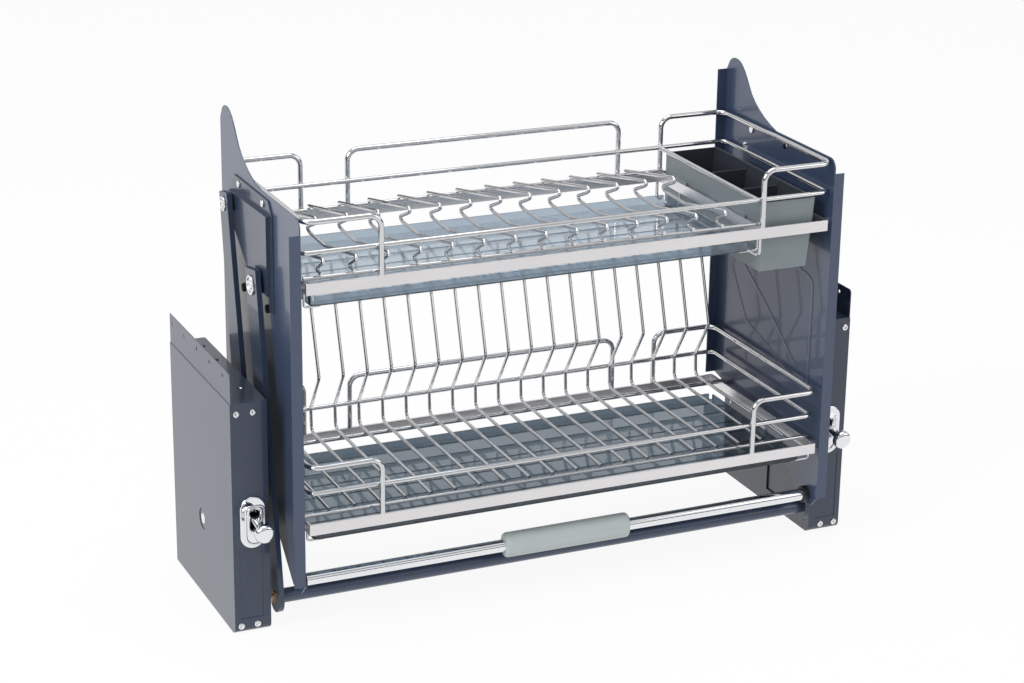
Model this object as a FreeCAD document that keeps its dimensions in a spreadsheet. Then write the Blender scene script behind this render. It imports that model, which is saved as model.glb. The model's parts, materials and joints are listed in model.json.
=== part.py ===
import FreeCAD
import Part
import Sketcher
import os
import re

# Pull-down dish rack: two wall housings, four swing arms and a two-shelf basket.
# X runs along the rack, Y from the user to the wall, Z up. Every Y below is counted
# from the front face of the housings, and front_y puts that face in the frame.

doc = FreeCAD.newDocument("pull_down_dish_rack")
sheet = doc.addObject("Spreadsheet::Sheet", "Sizes")
VEC = FreeCAD.Vector

SIZES = {
    "front_y": -92.9,
    # Housings
    "outer_x": 432.0, "housing_wide": 47.0, "housing_deep": 245.0, "housing_high": 305.0,
    "plate_thick": 2.0, "wall": 3.0, "cover_thick": 2.0, "housing_corner": 10.0,
    "flange_high": 38.5, "flange_corner": 5.0,
    "flange_hole": 5.0, "flange_hole_rise": 28.0, "flange_hole_first": 28.6,
    "flange_hole_pitch": 51.45,
    "plug_y": 124.0, "plug_z": 107.5, "plug_wide": 14.0, "dimple_wide": 28.0, "dimple_deep": 0.8,
    "vent_y": 105.0, "vent_z": 43.0, "vent_wide": 24.0, "vent_high": 46.0,
    "label_in": 22.5, "label_wide": 30.0, "label_z": 66.5, "label_high": 93.0, "label_deep": 0.8,
    "screw_head": 8.5, "screw_head_thick": 1.5, "screw_shank": 3.0, "screw_long": 5.0,
    "screw_out": 8.0, "screw_in": 29.0, "screw_drop": 13.0, "screw_low_z": 11.0,
    "screw_top_z": "=housing_high - screw_drop",
    # Force lever
    "lever_in": 27.5, "lever_x": "=outer_x - lever_in", "lever_y": 35.0, "lever_z": 158.5,
    "lever_droop": 7.3, "lever_thick": 11.0, "lever_hub": 14.0, "lever_hub_wide": 14.0, "lever_pin": 5.0,
    "knob_wide": 25.0, "knob_thick": 10.0, "knob_reach": 72.0, "running_gap": 0.05,
    "slot_wide": 15.0, "slot_high": 28.0, "slot_z": 152.0,
    "plaque_in": 25.2, "plaque_x": "=outer_x - plaque_in", "plaque_wide": 33.0,
    "plaque_high": 68.0, "plaque_z": 149.0, "plaque_thick": 3.5, "plaque_round": 1.5,
    # Arms and their pivots
    "arm_long": 393.8, "arm_lean": 9.47, "arm_gap": 7.0,
    "arm_out_x": "=outer_x - housing_wide - arm_gap", "arm_thick": 6.7,
    "front_pivot_y": 7.2, "front_pivot_z": 39.5, "pivot_step_y": 101.5, "pivot_step_z": 75.0,
    "front_arm_wide": 40.0, "front_arm_foot": 19.5, "lobe_reach": 47.0, "lobe_top": 56.0,
    "rear_arm_foot": 50.0, "rear_arm_tip": 30.0,
    "tube_wide": 18.5, "tube_wall": 2.0, "pin_wide": 8.0, "bush_wide": 12.0,
    "bush_collar": 16.0, "bush_collar_thick": 1.5, "pin_collar_thick": 1.5, "pin_in": 8.0,
    "axle_wide": 12.0, "axle_head": 20.0, "axle_head_thick": 3.0,
    "pulley_radius": 24.0, "pulley_wide": 6.0, "pulley_in": 30.0,
    "pulley_x": "=outer_x - pulley_in", "boss_wide": 22.0, "boss_high": 9.0,
    # Springs, dampers and straps inside the housings
    "anchor_drop": 20.0, "anchor_z": "=housing_high - anchor_drop", "anchor_high": 12.0,
    "anchor_wide": 66.0, "spring_run": 99.0, "carriage_z": "=anchor_z - spring_run",
    "carriage_high": 12.0, "carriage_deep": 20.0, "carriage_wide": 60.0,
    "spring_wide": 22.0, "spring_hole": 16.0, "strap_thick": 1.0, "strap_wide": 8.0,
    "strap_gap": 0.4, "damper_y": 116.0, "damper_wide": 18.0, "damper_bore": 8.0,
    "damper_rod": 7.0, "damper_long": 73.0, "damper_z": "=anchor_z - damper_long",
    "rod_reach": 62.0,
    # Basket side panels
    "sheet": 1.5, "bracket_base": 2.0, "bracket_rise": 5.5, "arm_clear": 3.3,
    "panel_x": "=arm_out_x - arm_thick - arm_clear - bracket_rise - bracket_base - sheet",
    "panel_front": 57.7, "panel_rear": 233.5,
    "panel_top": 544.0, "panel_low": 63.0, "panel_foot_y": 15.0, "step_y": 52.0, "step_z": 120.0,
    "panel_heel_z": 160.0, "horn_start": 94.0, "horn_top": 617.0, "horn_heel": 598.0,
    "lip_front": 14.4, "lip_rear": 14.0, "lip_low": 77.0, "lip_top": 525.0, "panel_corner": 14.0,
    # Arm brackets on the panels
    "bracket_front": 36.0, "bracket_rear": 184.0,
    "bracket_top": 538.0, "bracket_low": 412.0, "tab_low": 399.0, "tab_wide": 16.0,
    "bolt_wide": 8.0, "cap_wide": 25.0, "cap_rear_wide": 19.0, "cap_thick": 2.5,
    "cap_gap": 0.4, "open_gap": 0.4,
    "spacer_wide": 20.0, "bumper_wide": 11.0, "bumper_thick": 3.0, "bumper_z": 410.0,
    "bumper_front_y": 60.0, "bumper_rear_y": 150.0,
    "bracket_screw": 9.0, "bracket_screw_z": 530.6, "bracket_screw_front": 66.6,
    "bracket_screw_rear": 157.6, "head_thick": 2.0, "swage_thick": 0.5,
    # Handle
    "handle_y": 31.0, "handle_z": 74.8, "handle_wide": 16.0, "handle_wall": 1.5,
    "handle_bush": 22.0, "handle_bush_thick": 8.0, "grip_long": 176.0, "grip_x": 4.0,
    "grip_deep": 24.0, "grip_high": 33.0, "grip_round": 5.0,
    # Flat-bar frames of the two shelves
    "frame_gap": 6.0, "frame_x": "=panel_x - frame_gap", "bar_thick": 3.0, "bar_front": 57.7,
    "bar_rear": 229.4, "upper_bar_z": 450.5, "upper_bar_high": 14.5, "lower_bar_z": 143.5,
    "lower_bar_high": 14.2, "divider_in": 94.5, "divider_x": "=frame_x - divider_in",
    "fixing_wide": 6.0, "fixing_head": 10.0, "fixing_front": 40.0, "fixing_rear": 205.0,
    # Guards, rings and wires
    "guard_wire": 7.0, "guard_bend": 15.0, "leg_in": 0.5, "guard_leg": "=divider_x - leg_in",
    "rear_leg": 194.0, "upper_guard_in": 5.0, "upper_guard_x": "=panel_x - upper_guard_in",
    "upper_guard_z": 539.5, "lower_guard_in": 8.5, "lower_guard_x": "=panel_x - lower_guard_in",
    "lower_guard_z": 230.3, "ring_wire": 6.0, "ring_bend": 10.0, "upper_ring_z": 500.0,
    "lower_ring_z": 195.0, "upper_ring_in": 3.8, "upper_ring_x": "=panel_x - upper_ring_in",
    "lower_ring_in": 10.2, "lower_ring_x": "=panel_x - lower_ring_in",
    "ring_rod_in": 5.0, "ring_rod_x": "=divider_x - ring_rod_in",
    "wire": 4.5, "upper_rod_front": 46.0, "upper_rod_rear": 220.0, "cross_rod": 5.0,
    "lower_rod_front": 35.0, "lower_rod_rear": 190.0, "thick_rod": 6.0, "wire_end": 3.0,
    "bowl_side": 22.0, "bowl_first": "=frame_x - bowl_side", "bowl_last": 55.2,
    "bowl_count": 14,
    "bowl_pitch": "=(bowl_first + divider_x - bowl_last) / (bowl_count - 1)",
    "plate_side": 33.0, "plate_first": "=frame_x - plate_side", "plate_end": 1.6,
    "plate_count": 20, "plate_pitch": "=(2 * plate_first - plate_end) / (plate_count - 1)",
    # Bends of the bowl wires: depth, then rise above the wires' lowest run
    "peak_y": 84.0, "peak_rise": 25.0, "peak_turn": 4.0, "dip_y": 110.0, "dip_rise": 11.5,
    "dip_turn": 4.0, "dip_step": 3.0, "flat_y": 15.0, "flat_rise": 5.0, "slope_y": 24.0,
    "slope_rise": 15.0, "nose_y": 44.5, "nose_rise": 24.5, "nose_turn": 4.0, "tuck_y": 38.5,
    # Bends of the plate wires
    "rack_end": 8.0, "rack_foot_y": 214.0, "rack_turn_y": 216.0, "rack_turn_z": 198.0,
    "rack_in_y": 182.0, "rack_in_z": 251.0, "rack_out_y": 209.0, "rack_out_z": 337.0,
    "floor_bend_y": 20.0, "rail_y": 229.2, "rail_z": 390.0,
    "cradle_wire": 4.5, "cradle_in": 3.5, "cradle_x": "=divider_x - cradle_in",
    "cradle_z": 428.2, "cradle_bend": 6.0,
    "hook_wire": 3.0, "hook_reach": 20.0, "hook_bend": 3.5, "hook_front": 44.0,
    "hook_rear": 168.0,
    # Drip trays and cutlery box
    "tray_wall": 1.6, "tray_side": 8.0, "tray_left": "=frame_x - tray_side",
    "upper_tray_side": 12.5, "upper_tray_right": "=divider_x - upper_tray_side",
    "lower_tray_side": 18.0, "lower_tray_right": "=frame_x - lower_tray_side",
    "tray_front": 50.0, "upper_tray_rear": 182.0, "lower_tray_rear": 195.0,
    "upper_tray_high": 12.0, "lower_tray_high": 9.0, "upper_tray_z": 434.0,
    "lower_tray_z": 134.0, "seat_gap": 0.3, "tray_corner": 10.0,
    "box_in": 3.5, "box_left": "=divider_x + box_in", "box_side": 14.0,
    "box_right": "=frame_x - box_side", "box_foot_side": 23.0,
    "box_foot": "=frame_x - box_foot_side", "box_z": 403.0, "box_high": 91.0,
    "box_front": 46.2, "box_rear": 217.4, "box_wall": 2.5, "box_split_one": 43.0,
    "box_split_two": 127.0, "box_split_drop": 7.0, "box_corner": 6.0, "lug_long": 30.0,
    "lug_thick": 4.0, "lug_front": 10.0, "lug_rear": 150.0, "lug_middle": 70.0,
    "lug_root": 1.2,
}

row = 0
for alias, number in SIZES.items():
    row = row + 1
    sheet.set("A%d" % row, alias)
    sheet.set("B%d" % row, str(number))
    sheet.setAlias("B%d" % row, alias)
doc.recompute()

NAMES = re.compile(r"\b(" + "|".join(sorted(SIZES, key=len, reverse=True)) + r")\b")
HOUSING_IN = "(outer_x - housing_wide)"
COVER_IN = "(outer_x - housing_wide + cover_thick)"
SHELL_OUT = "(outer_x - plate_thick)"
REAR_PIVOT_Y = "(front_pivot_y + pivot_step_y)"
REAR_PIVOT_Z = "(front_pivot_z + pivot_step_z)"
UPPER_Y = "(front_pivot_y + arm_long * sin(arm_lean))"
UPPER_Z = "(front_pivot_z + arm_long * cos(arm_lean))"
UPPER_REAR_Y = "(front_pivot_y + pivot_step_y + arm_long * sin(arm_lean))"
UPPER_REAR_Z = "(front_pivot_z + pivot_step_z + arm_long * cos(arm_lean))"
BRACKET_FACE = "(panel_x + sheet + bracket_base + bracket_rise)"
ARM_IN = "(arm_out_x - arm_thick)"
BAR_FRONT = "(-bar_front + bar_thick / 2)"
BAR_REAR = "(bar_rear - bar_thick / 2)"


def bound(text):
    """Return the expression with every sheet name spelled in full."""
    return NAMES.sub(r"Sizes.\1", str(text))


def worth(text):
    """Return the number that an expression stands for."""
    return float(sheet.evalExpression(bound(text)))


def placed(item, x="0", y="0", z="0", turn=None, axis=VEC(1, 0, 0)):
    """Place an object by expressions; turn is an angle about the axis."""
    item.Placement = FreeCAD.Placement(VEC(0, 0, 0), FreeCAD.Rotation(axis, 0))
    if turn is not None:
        item.setExpression("Placement.Rotation.Angle", bound(turn))
    item.setExpression("Placement.Base.x", bound(x))
    item.setExpression("Placement.Base.y", bound("front_y + (%s)" % y))
    item.setExpression("Placement.Base.z", bound(z))
    return item


class Piece:
    """A PartDesign body whose features are bound to the sheet."""

    def __init__(self, label, x="0", y="0", z="0", turn=None):
        self.body = doc.addObject("PartDesign::Body", label)
        self.body.Label = label
        self.body.AllowCompound = True
        self.count = 0
        placed(self.body, x, y, z, turn)

    def name(self, kind):
        self.count = self.count + 1
        return "%s_%s%d" % (self.body.Name, kind, self.count)

    def sketch(self, plane, offset, shapes):
        """Draw closed shapes on an origin plane shifted by offset."""
        drawing = self.body.newObject("Sketcher::SketchObject", self.name("sketch"))
        support = [item for item in self.body.Origin.OriginFeatures if item.Role == plane][0]
        drawing.AttachmentSupport = [(support, "")]
        drawing.MapMode = "FlatFace"
        drawing.setExpression("AttachmentOffset.Base.z", bound(offset))
        for shape in shapes:
            if shape[0] == "ring":
                circle(drawing, shape[1], shape[2], shape[3])
            elif shape[0] == "stadium":
                stadium(drawing, *shape[1:])
            else:
                polygon(drawing, shape[1])
        doc.recompute()
        return drawing

    def pad(self, plane, offset, shapes, length):
        feature = self.body.newObject("PartDesign::Pad", self.name("pad"))
        feature.Profile = self.sketch(plane, offset, shapes)
        feature.setExpression("Length", bound(length))
        doc.recompute()
        return self

    def pocket(self, plane, offset, shapes, length):
        """Cut along the plane's normal, from the offset onwards."""
        feature = self.body.newObject("PartDesign::Pocket", self.name("pocket"))
        feature.Profile = self.sketch(plane, offset, shapes)
        feature.setExpression("Length", bound(length))
        feature.Reversed = True
        doc.recompute()
        return self

    def fillet(self, chosen, radius):
        """Round the edges that the chosen test accepts."""
        base = self.body.Tip
        names = []
        for index, edge in enumerate(base.Shape.Edges):
            if chosen(edge):
                names.append("Edge%d" % (index + 1))
        feature = self.body.newObject("PartDesign::Fillet", self.name("fillet"))
        feature.Base = (base, names)
        feature.setExpression("Radius", bound(radius))
        doc.recompute()
        return self

    def repeat(self, count, pitch):
        """Repeat the last feature along X."""
        first = self.body.Tip
        pattern = self.body.newObject("PartDesign::LinearPattern", self.name("row"))
        pattern.Originals = [first]
        axis = [item for item in self.body.Origin.OriginFeatures if item.Role == "X_Axis"][0]
        pattern.Direction = (axis, [""])
        pattern.setExpression("Length", bound("%s * (%s - 1)" % (pitch, count)))
        pattern.setExpression("Occurrences", bound(count))
        pattern.Refine = False
        self.body.Tip = pattern
        doc.recompute()
        return self


def dimension(drawing, kind, item, point, text):
    """Hold one coordinate of a sketch point to an expression."""
    index = drawing.addConstraint(Sketcher.Constraint(kind, -1, 1, item, point, worth(text)))
    if not re.fullmatch(r"-?[0-9.]+", str(text)):
        drawing.setExpression("Constraints[%d]" % index, bound(text))


def polygon(drawing, points):
    corners = [VEC(worth(u), worth(v), 0) for u, v in points]
    first = drawing.GeometryCount
    total = len(corners)
    for index in range(total):
        line = Part.LineSegment(corners[index], corners[(index + 1) % total])
        drawing.addGeometry(line, False)
    for index in range(total):
        joined = first + (index + 1) % total
        drawing.addConstraint(Sketcher.Constraint("Coincident", first + index, 2, joined, 1))
    for index in range(total):
        dimension(drawing, "DistanceX", first + index, 1, points[index][0])
        dimension(drawing, "DistanceY", first + index, 1, points[index][1])


def circle(drawing, u, v, wide):
    shape = Part.Circle(VEC(worth(u), worth(v), 0), VEC(0, 0, 1), worth(wide) / 2)
    item = drawing.addGeometry(shape, False)
    dimension(drawing, "DistanceX", item, 3, u)
    dimension(drawing, "DistanceY", item, 3, v)
    index = drawing.addConstraint(Sketcher.Constraint("Diameter", item, worth(wide)))
    drawing.setExpression("Constraints[%d]" % index, bound(wide))


def stadium(drawing, u, v, wide, high):
    """An upright slot shape of the given overall width and height."""
    radius = worth(wide) / 2
    rise = worth(high) / 2 - radius
    middle = VEC(worth(u), worth(v), 0)
    upper = Part.Circle(middle + VEC(0, rise, 0), VEC(0, 0, 1), radius)
    lower = Part.Circle(middle - VEC(0, rise, 0), VEC(0, 0, 1), radius)
    turn = 3.141592653589793
    top = drawing.addGeometry(Part.ArcOfCircle(upper, 0, turn), False)
    low = drawing.addGeometry(Part.ArcOfCircle(lower, turn, 2 * turn), False)
    left = drawing.addGeometry(Part.LineSegment(
        middle + VEC(-radius, rise, 0), middle + VEC(-radius, -rise, 0)), False)
    right = drawing.addGeometry(Part.LineSegment(
        middle + VEC(radius, -rise, 0), middle + VEC(radius, rise, 0)), False)
    for one, end, two, start in ((top, 2, left, 1), (left, 2, low, 1), (low, 2, right, 1),
                                 (right, 2, top, 1)):
        drawing.addConstraint(Sketcher.Constraint("Tangent", one, end, two, start))
    drawing.addConstraint(Sketcher.Constraint("Equal", top, low))
    index = drawing.addConstraint(Sketcher.Constraint("Radius", top, radius))
    drawing.setExpression("Constraints[%d]" % index, bound("(%s) / 2" % wide))
    dimension(drawing, "DistanceX", top, 3, u)
    dimension(drawing, "DistanceX", low, 3, u)
    dimension(drawing, "DistanceY", top, 3, "%s + (%s) / 2 - (%s) / 2" % (v, high, wide))
    dimension(drawing, "DistanceY", low, 3, "%s - (%s) / 2 + (%s) / 2" % (v, high, wide))


def rectangle(u_low, v_low, u_high, v_high):
    return ("outline", [(u_low, v_low), (u_high, v_low), (u_high, v_high), (u_low, v_high)])


def span(side, near, far):
    """Offset and length of a slab between two distances from the middle of the rack."""
    start = near if side > 0 else "-(%s)" % far
    return start, "%s - (%s)" % (far, near)


def along(edge, axis, tolerance=0.001):
    """Tell whether a straight edge runs along the axis."""
    if edge.Curve.TypeId != "Part::GeomLine":
        return False
    return abs(abs(edge.tangentAt(edge.FirstParameter).dot(axis)) - 1) < tolerance


def near(edge, u=None, v=None, w=None, tolerance=0.6):
    """Tell whether the middle of an edge has the given coordinates."""
    middle = edge.valueAt((edge.FirstParameter + edge.LastParameter) / 2)
    for got, wanted in ((middle.x, u), (middle.y, v), (middle.z, w)):
        if wanted is not None and abs(got - worth(wanted)) > tolerance:
            return False
    return True



def primitive(kind, label):
    item = doc.addObject(kind, label)
    item.Label = label
    return item


def rod_x(label, x_from, x_to, y, z, wide):
    """A round bar along X between two places."""
    item = primitive("Part::Cylinder", label)
    item.Placement = FreeCAD.Placement(VEC(0, 0, 0), FreeCAD.Rotation(VEC(0, 1, 0), 90))
    item.setExpression("Radius", bound("(%s) / 2" % wide))
    item.setExpression("Height", bound("(%s) - (%s)" % (x_to, x_from)))
    item.setExpression("Placement.Base.x", bound(x_from))
    item.setExpression("Placement.Base.y", bound("front_y + (%s)" % y))
    item.setExpression("Placement.Base.z", bound(z))
    return item


def rod_side(label, side, near_x, far_x, y, z, wide):
    """A round bar along X, given by distances from the middle of the rack."""
    if side > 0:
        return rod_x(label, near_x, far_x, y, z, wide)
    return rod_x(label, "-(%s)" % far_x, "-(%s)" % near_x, y, z, wide)


def rod_y(label, x, y_from, y_to, z, wide):
    item = primitive("Part::Cylinder", label)
    item.Placement = FreeCAD.Placement(VEC(0, 0, 0), FreeCAD.Rotation(VEC(1, 0, 0), -90))
    item.setExpression("Radius", bound("(%s) / 2" % wide))
    item.setExpression("Height", bound("(%s) - (%s)" % (y_to, y_from)))
    item.setExpression("Placement.Base.x", bound(x))
    item.setExpression("Placement.Base.y", bound("front_y + (%s)" % y_from))
    item.setExpression("Placement.Base.z", bound(z))
    return item


def rod_z(label, x, y, z_from, z_to, wide):
    item = primitive("Part::Cylinder", label)
    item.setExpression("Radius", bound("(%s) / 2" % wide))
    item.setExpression("Height", bound("(%s) - (%s)" % (z_to, z_from)))
    item.setExpression("Placement.Base.x", bound(x))
    item.setExpression("Placement.Base.y", bound("front_y + (%s)" % y))
    item.setExpression("Placement.Base.z", bound(z_from))
    return item


def block(label, x, y, z):
    """A box between pairs of places along X, Y and Z."""
    item = primitive("Part::Box", label)
    item.setExpression("Length", bound("(%s) - (%s)" % (x[1], x[0])))
    item.setExpression("Width", bound("(%s) - (%s)" % (y[1], y[0])))
    item.setExpression("Height", bound("(%s) - (%s)" % (z[1], z[0])))
    item.setExpression("Placement.Base.x", bound(x[0]))
    item.setExpression("Placement.Base.y", bound("front_y + (%s)" % y[0]))
    item.setExpression("Placement.Base.z", bound(z[0]))
    return item


def side_block(label, side, x, y, z):
    if side > 0:
        return block(label, x, y, z)
    return block(label, ("-(%s)" % x[1], "-(%s)" % x[0]), y, z)


def cut(label, base, tool):
    item = primitive("Part::Cut", label)
    item.Base = base
    item.Tool = tool
    return item


def fuse(label, items):
    item = primitive("Part::MultiFuse", label)
    item.Shapes = items
    return item


def group(label, items):
    """Keep several equal pieces as separate solids of one node."""
    item = primitive("Part::Compound", label)
    item.Links = items
    return item


def bent_rod(label, points, wide, bend):
    """A round rod through corner points joined by lines along X, Y or Z."""
    pieces = []
    places = [VEC(worth(x), worth(y), worth(z)) for x, y, z in points]
    steps = [(places[i + 1] - places[i]).normalize() for i in range(len(places) - 1)]
    for index, step in enumerate(steps):
        start = points[index]
        end = points[index + 1]
        trim_start = bend if index > 0 else "0"
        trim_end = bend if index < len(steps) - 1 else "0"
        axis = [i for i in range(3) if abs(step[i]) > 0.5][0]
        low, high = (start, end) if step[axis] > 0 else (end, start)
        trim_low, trim_high = (trim_start, trim_end) if step[axis] > 0 else (trim_end, trim_start)
        spot = list(low)
        first = "(%s) + %s" % (low[axis], trim_low)
        last = "(%s) - %s" % (high[axis], trim_high)
        name = "%s_run%d" % (label, index + 1)
        if axis == 0:
            pieces.append(rod_x(name, first, last, spot[1], spot[2], wide))
        elif axis == 1:
            pieces.append(rod_y(name, spot[0], first, last, spot[2], wide))
        else:
            pieces.append(rod_z(name, spot[0], spot[1], first, last, wide))
    for index in range(len(steps) - 1):
        corner = points[index + 1]
        back = steps[index] * -1
        ahead = steps[index + 1]
        item = primitive("Part::Torus", "%s_bend%d" % (label, index + 1))
        item.setExpression("Radius1", bound(bend))
        item.setExpression("Radius2", bound("(%s) / 2" % wide))
        item.Angle3 = 90
        # The torus starts on its own X axis, opposite the way ahead.
        matrix = FreeCAD.Matrix()
        first = ahead * -1
        second = back * -1
        third = first.cross(second)
        matrix.A11, matrix.A21, matrix.A31 = first.x, first.y, first.z
        matrix.A12, matrix.A22, matrix.A32 = second.x, second.y, second.z
        matrix.A13, matrix.A23, matrix.A33 = third.x, third.y, third.z
        item.Placement = FreeCAD.Placement(matrix)
        centre = []
        for axis in range(3):
            shift = back[axis] + ahead[axis]
            centre.append("(%s) + (%d) * %s" % (corner[axis], round(shift), bend))
        item.setExpression("Placement.Base.x", bound(centre[0]))
        item.setExpression("Placement.Base.y", bound("front_y + (%s)" % centre[1]))
        item.setExpression("Placement.Base.z", bound(centre[2]))
        pieces.append(item)
    return fuse(label, pieces)


def wire_row(label, x, y_z_points, wide, count, pitch, corner="Round corner"):
    """A row of equal wires bent in the plane across the rack."""
    piece = Piece(label, x)
    path = piece.body.newObject("Sketcher::SketchObject", piece.name("path"))
    planes = piece.body.Origin.OriginFeatures
    path.AttachmentSupport = [([item for item in planes if item.Role == "YZ_Plane"][0], "")]
    path.MapMode = "FlatFace"
    spots = [VEC(worth(y), worth(z), 0) for y, z in y_z_points]
    for index in range(len(spots) - 1):
        path.addGeometry(Part.LineSegment(spots[index], spots[index + 1]), False)
    for index in range(len(spots) - 2):
        path.addConstraint(Sketcher.Constraint("Coincident", index, 2, index + 1, 1))
    for index, (y, z) in enumerate(y_z_points[:-1]):
        dimension(path, "DistanceX", index, 1, y)
        dimension(path, "DistanceY", index, 1, z)
    dimension(path, "DistanceX", len(spots) - 2, 2, y_z_points[-1][0])
    dimension(path, "DistanceY", len(spots) - 2, 2, y_z_points[-1][1])
    doc.recompute()
    profile = piece.body.newObject("Sketcher::SketchObject", piece.name("profile"))
    profile.AttachmentSupport = [(path, "Vertex1"), (path, "Edge1")]
    profile.MapMode = "NormalToEdge"
    profile.AttachmentSupport = [(path, "Edge1")]
    profile.MapPathParameter = 0
    circle(profile, "0", "0", wide)
    doc.recompute()
    pipe = piece.body.newObject("PartDesign::AdditivePipe", piece.name("pipe"))
    pipe.Profile = profile
    pipe.Spine = (path, ["Edge%d" % (index + 1) for index in range(len(spots) - 1)])
    pipe.Transition = corner
    pipe.Refine = False
    doc.recompute()
    piece.repeat(count, pitch)
    return piece


NODES = []


def keep(item):
    """Note an object as one of the rack's pieces."""
    NODES.append(item.body if isinstance(item, Piece) else item)
    return item


SIDES = ((-1, "left"), (1, "right"))


# Housings
def mounting_plate(side, word):
    offset, thick = span(side, SHELL_OUT, "outer_x")
    top = "housing_high + flange_high"
    plate = Piece("mounting_plate_%s" % word)
    plate.pad("YZ_Plane", offset, [rectangle("0", "0", "housing_deep", top)], thick)
    plate.fillet(lambda edge: along(edge, VEC(1, 0, 0)) and near(edge, v="0", w=top),
                 "flange_corner")
    plate.fillet(lambda edge: along(edge, VEC(1, 0, 0)) and near(edge, v="0", w="0"),
                 "housing_corner")
    holes = []
    for index in range(5):
        holes.append(("ring", "flange_hole_first + %d * flange_hole_pitch" % index,
                      "housing_high + flange_hole_rise", "flange_hole"))
    holes.append(("ring", "plug_y", "plug_z", "plug_wide"))
    plate.pocket("YZ_Plane", offset, holes, thick)
    skin = "outer_x - dimple_deep" if side > 0 else "-outer_x"
    plate.pocket("YZ_Plane", skin, [("ring", "plug_y", "plug_z", "dimple_wide")], "dimple_deep")
    return keep(plate)


def housing_shell(side, word):
    offset, thick = span(side, COVER_IN, SHELL_OUT)
    shell = Piece("housing_shell_%s" % word)
    outline = rectangle("0", "0", "housing_deep", "housing_high")
    shell.pad("YZ_Plane", offset, [outline], thick)
    shell.fillet(lambda edge: along(edge, VEC(1, 0, 0)) and near(edge, v="0", w="0"),
                 "housing_corner")
    inside, hollow = span(side, COVER_IN, "(%s - wall)" % SHELL_OUT)
    shell.pocket("YZ_Plane", inside,
                 [rectangle("wall", "wall", "housing_deep - wall", "housing_high - wall")], hollow)
    boss, high = span(side, "(%s - wall - boss_high)" % SHELL_OUT, "(%s - wall)" % SHELL_OUT)
    shell.pad("YZ_Plane", boss, [("ring", REAR_PIVOT_Y, REAR_PIVOT_Z, "boss_wide"),
                                 ("ring", REAR_PIVOT_Y, REAR_PIVOT_Z,
                                  "axle_wide + 2 * running_gap")], high)
    low, long = span(side, "(%s - wall - boss_high)" % SHELL_OUT, "(%s - wall)" % SHELL_OUT)
    shell.pad("YZ_Plane", low, [("ring", "lever_y", "lever_z", "lever_hub"),
                                ("ring", "lever_y", "lever_z", "lever_pin")], long)
    plug, deep = span(side, "(%s - wall)" % SHELL_OUT, SHELL_OUT)
    shell.pocket("YZ_Plane", plug, [("ring", "plug_y", "plug_z", "plug_wide - 4")], deep)
    slot_x = "%d * lever_x" % side
    shell.pocket("XZ_Plane", "-wall", [("stadium", slot_x, "slot_z", "slot_wide", "slot_high")],
                 "wall")
    middle = "%d * (outer_x - label_in)" % side
    recess = rectangle("%s - label_wide / 2" % middle, "label_z - label_high / 2",
                       "%s + label_wide / 2" % middle, "label_z + label_high / 2")
    shell.pocket("XZ_Plane", "-label_deep", [recess], "label_deep")
    holes = []
    for inset in ("screw_out", "screw_in"):
        for height in ("screw_top_z", "screw_low_z"):
            holes.append(("ring", "%d * (outer_x - %s)" % (side, inset), height, "screw_shank"))
    shell.pocket("XZ_Plane", "-wall", holes, "wall")
    return keep(shell)


def housing_cover(side, word):
    offset, thick = span(side, HOUSING_IN, COVER_IN)
    cover = Piece("housing_cover_%s" % word)
    cover.pad("YZ_Plane", offset, [rectangle("0", "0", "housing_deep", "housing_high")], thick)
    cover.fillet(lambda edge: along(edge, VEC(1, 0, 0)) and near(edge, v="0", w="0"),
                 "housing_corner")
    vent = rectangle("vent_y - vent_wide / 2", "vent_z - vent_high / 2",
                     "vent_y + vent_wide / 2", "vent_z + vent_high / 2")
    cover.pocket("YZ_Plane", offset, [
        ("ring", REAR_PIVOT_Y, REAR_PIVOT_Z, "axle_wide + 2 * running_gap"),
        ("ring", "front_pivot_y", "front_pivot_z", "pin_wide"),
        ("ring", "lever_y", "lever_z", "lever_pin"), vent], thick)
    return keep(cover)


def escutcheon(side, word):
    plaque = Piece("escutcheon_%s" % word)
    slot_x = "%d * lever_x" % side
    plaque.pad("XZ_Plane", "0", [
        ("stadium", "%d * plaque_x" % side, "plaque_z", "plaque_wide", "plaque_high"),
        ("stadium", slot_x, "slot_z", "slot_wide", "slot_high")], "plaque_thick")
    plaque.fillet(lambda edge: edge.BoundBox.YMax < worth("0.01 - plaque_thick")
                  and max(edge.BoundBox.XLength, edge.BoundBox.ZLength)
                  > worth("plaque_wide * 0.7"), "plaque_round")
    return plaque.body


def force_lever(side, word):
    """A shaft with a mushroom knob, on a barrel that turns on its pin."""
    lever = Piece("force_lever_%s" % word, "%d * lever_x" % side, "lever_y", "lever_z",
                  "lever_droop")
    lever.pad("YZ_Plane", "-lever_hub_wide / 2", [
        ("ring", "0", "0", "lever_hub"), ("ring", "0", "0", "lever_pin + 2 * running_gap")],
        "lever_hub_wide")
    lever.pad("XZ_Plane", "lever_hub / 2 - 0.8", [("ring", "0", "0", "lever_thick")],
              "knob_reach - lever_hub / 2 + 1")
    lever.pad("XZ_Plane", "knob_reach", [("ring", "0", "0", "knob_wide")], "knob_thick")
    # The knob's front edge is rounded.
    lever.fillet(lambda edge: edge.Curve.TypeId == "Part::GeomCircle"
                 and abs(edge.Curve.Radius - worth("knob_wide / 2")) < 0.01, "knob_thick * 0.4")
    return keep(lever)


escutcheons = []
for side, word in SIDES:
    mounting_plate(side, word)
    housing_shell(side, word)
    housing_cover(side, word)
    escutcheons.append(escutcheon(side, word))
    force_lever(side, word)
keep(group("escutcheons", escutcheons))

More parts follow.
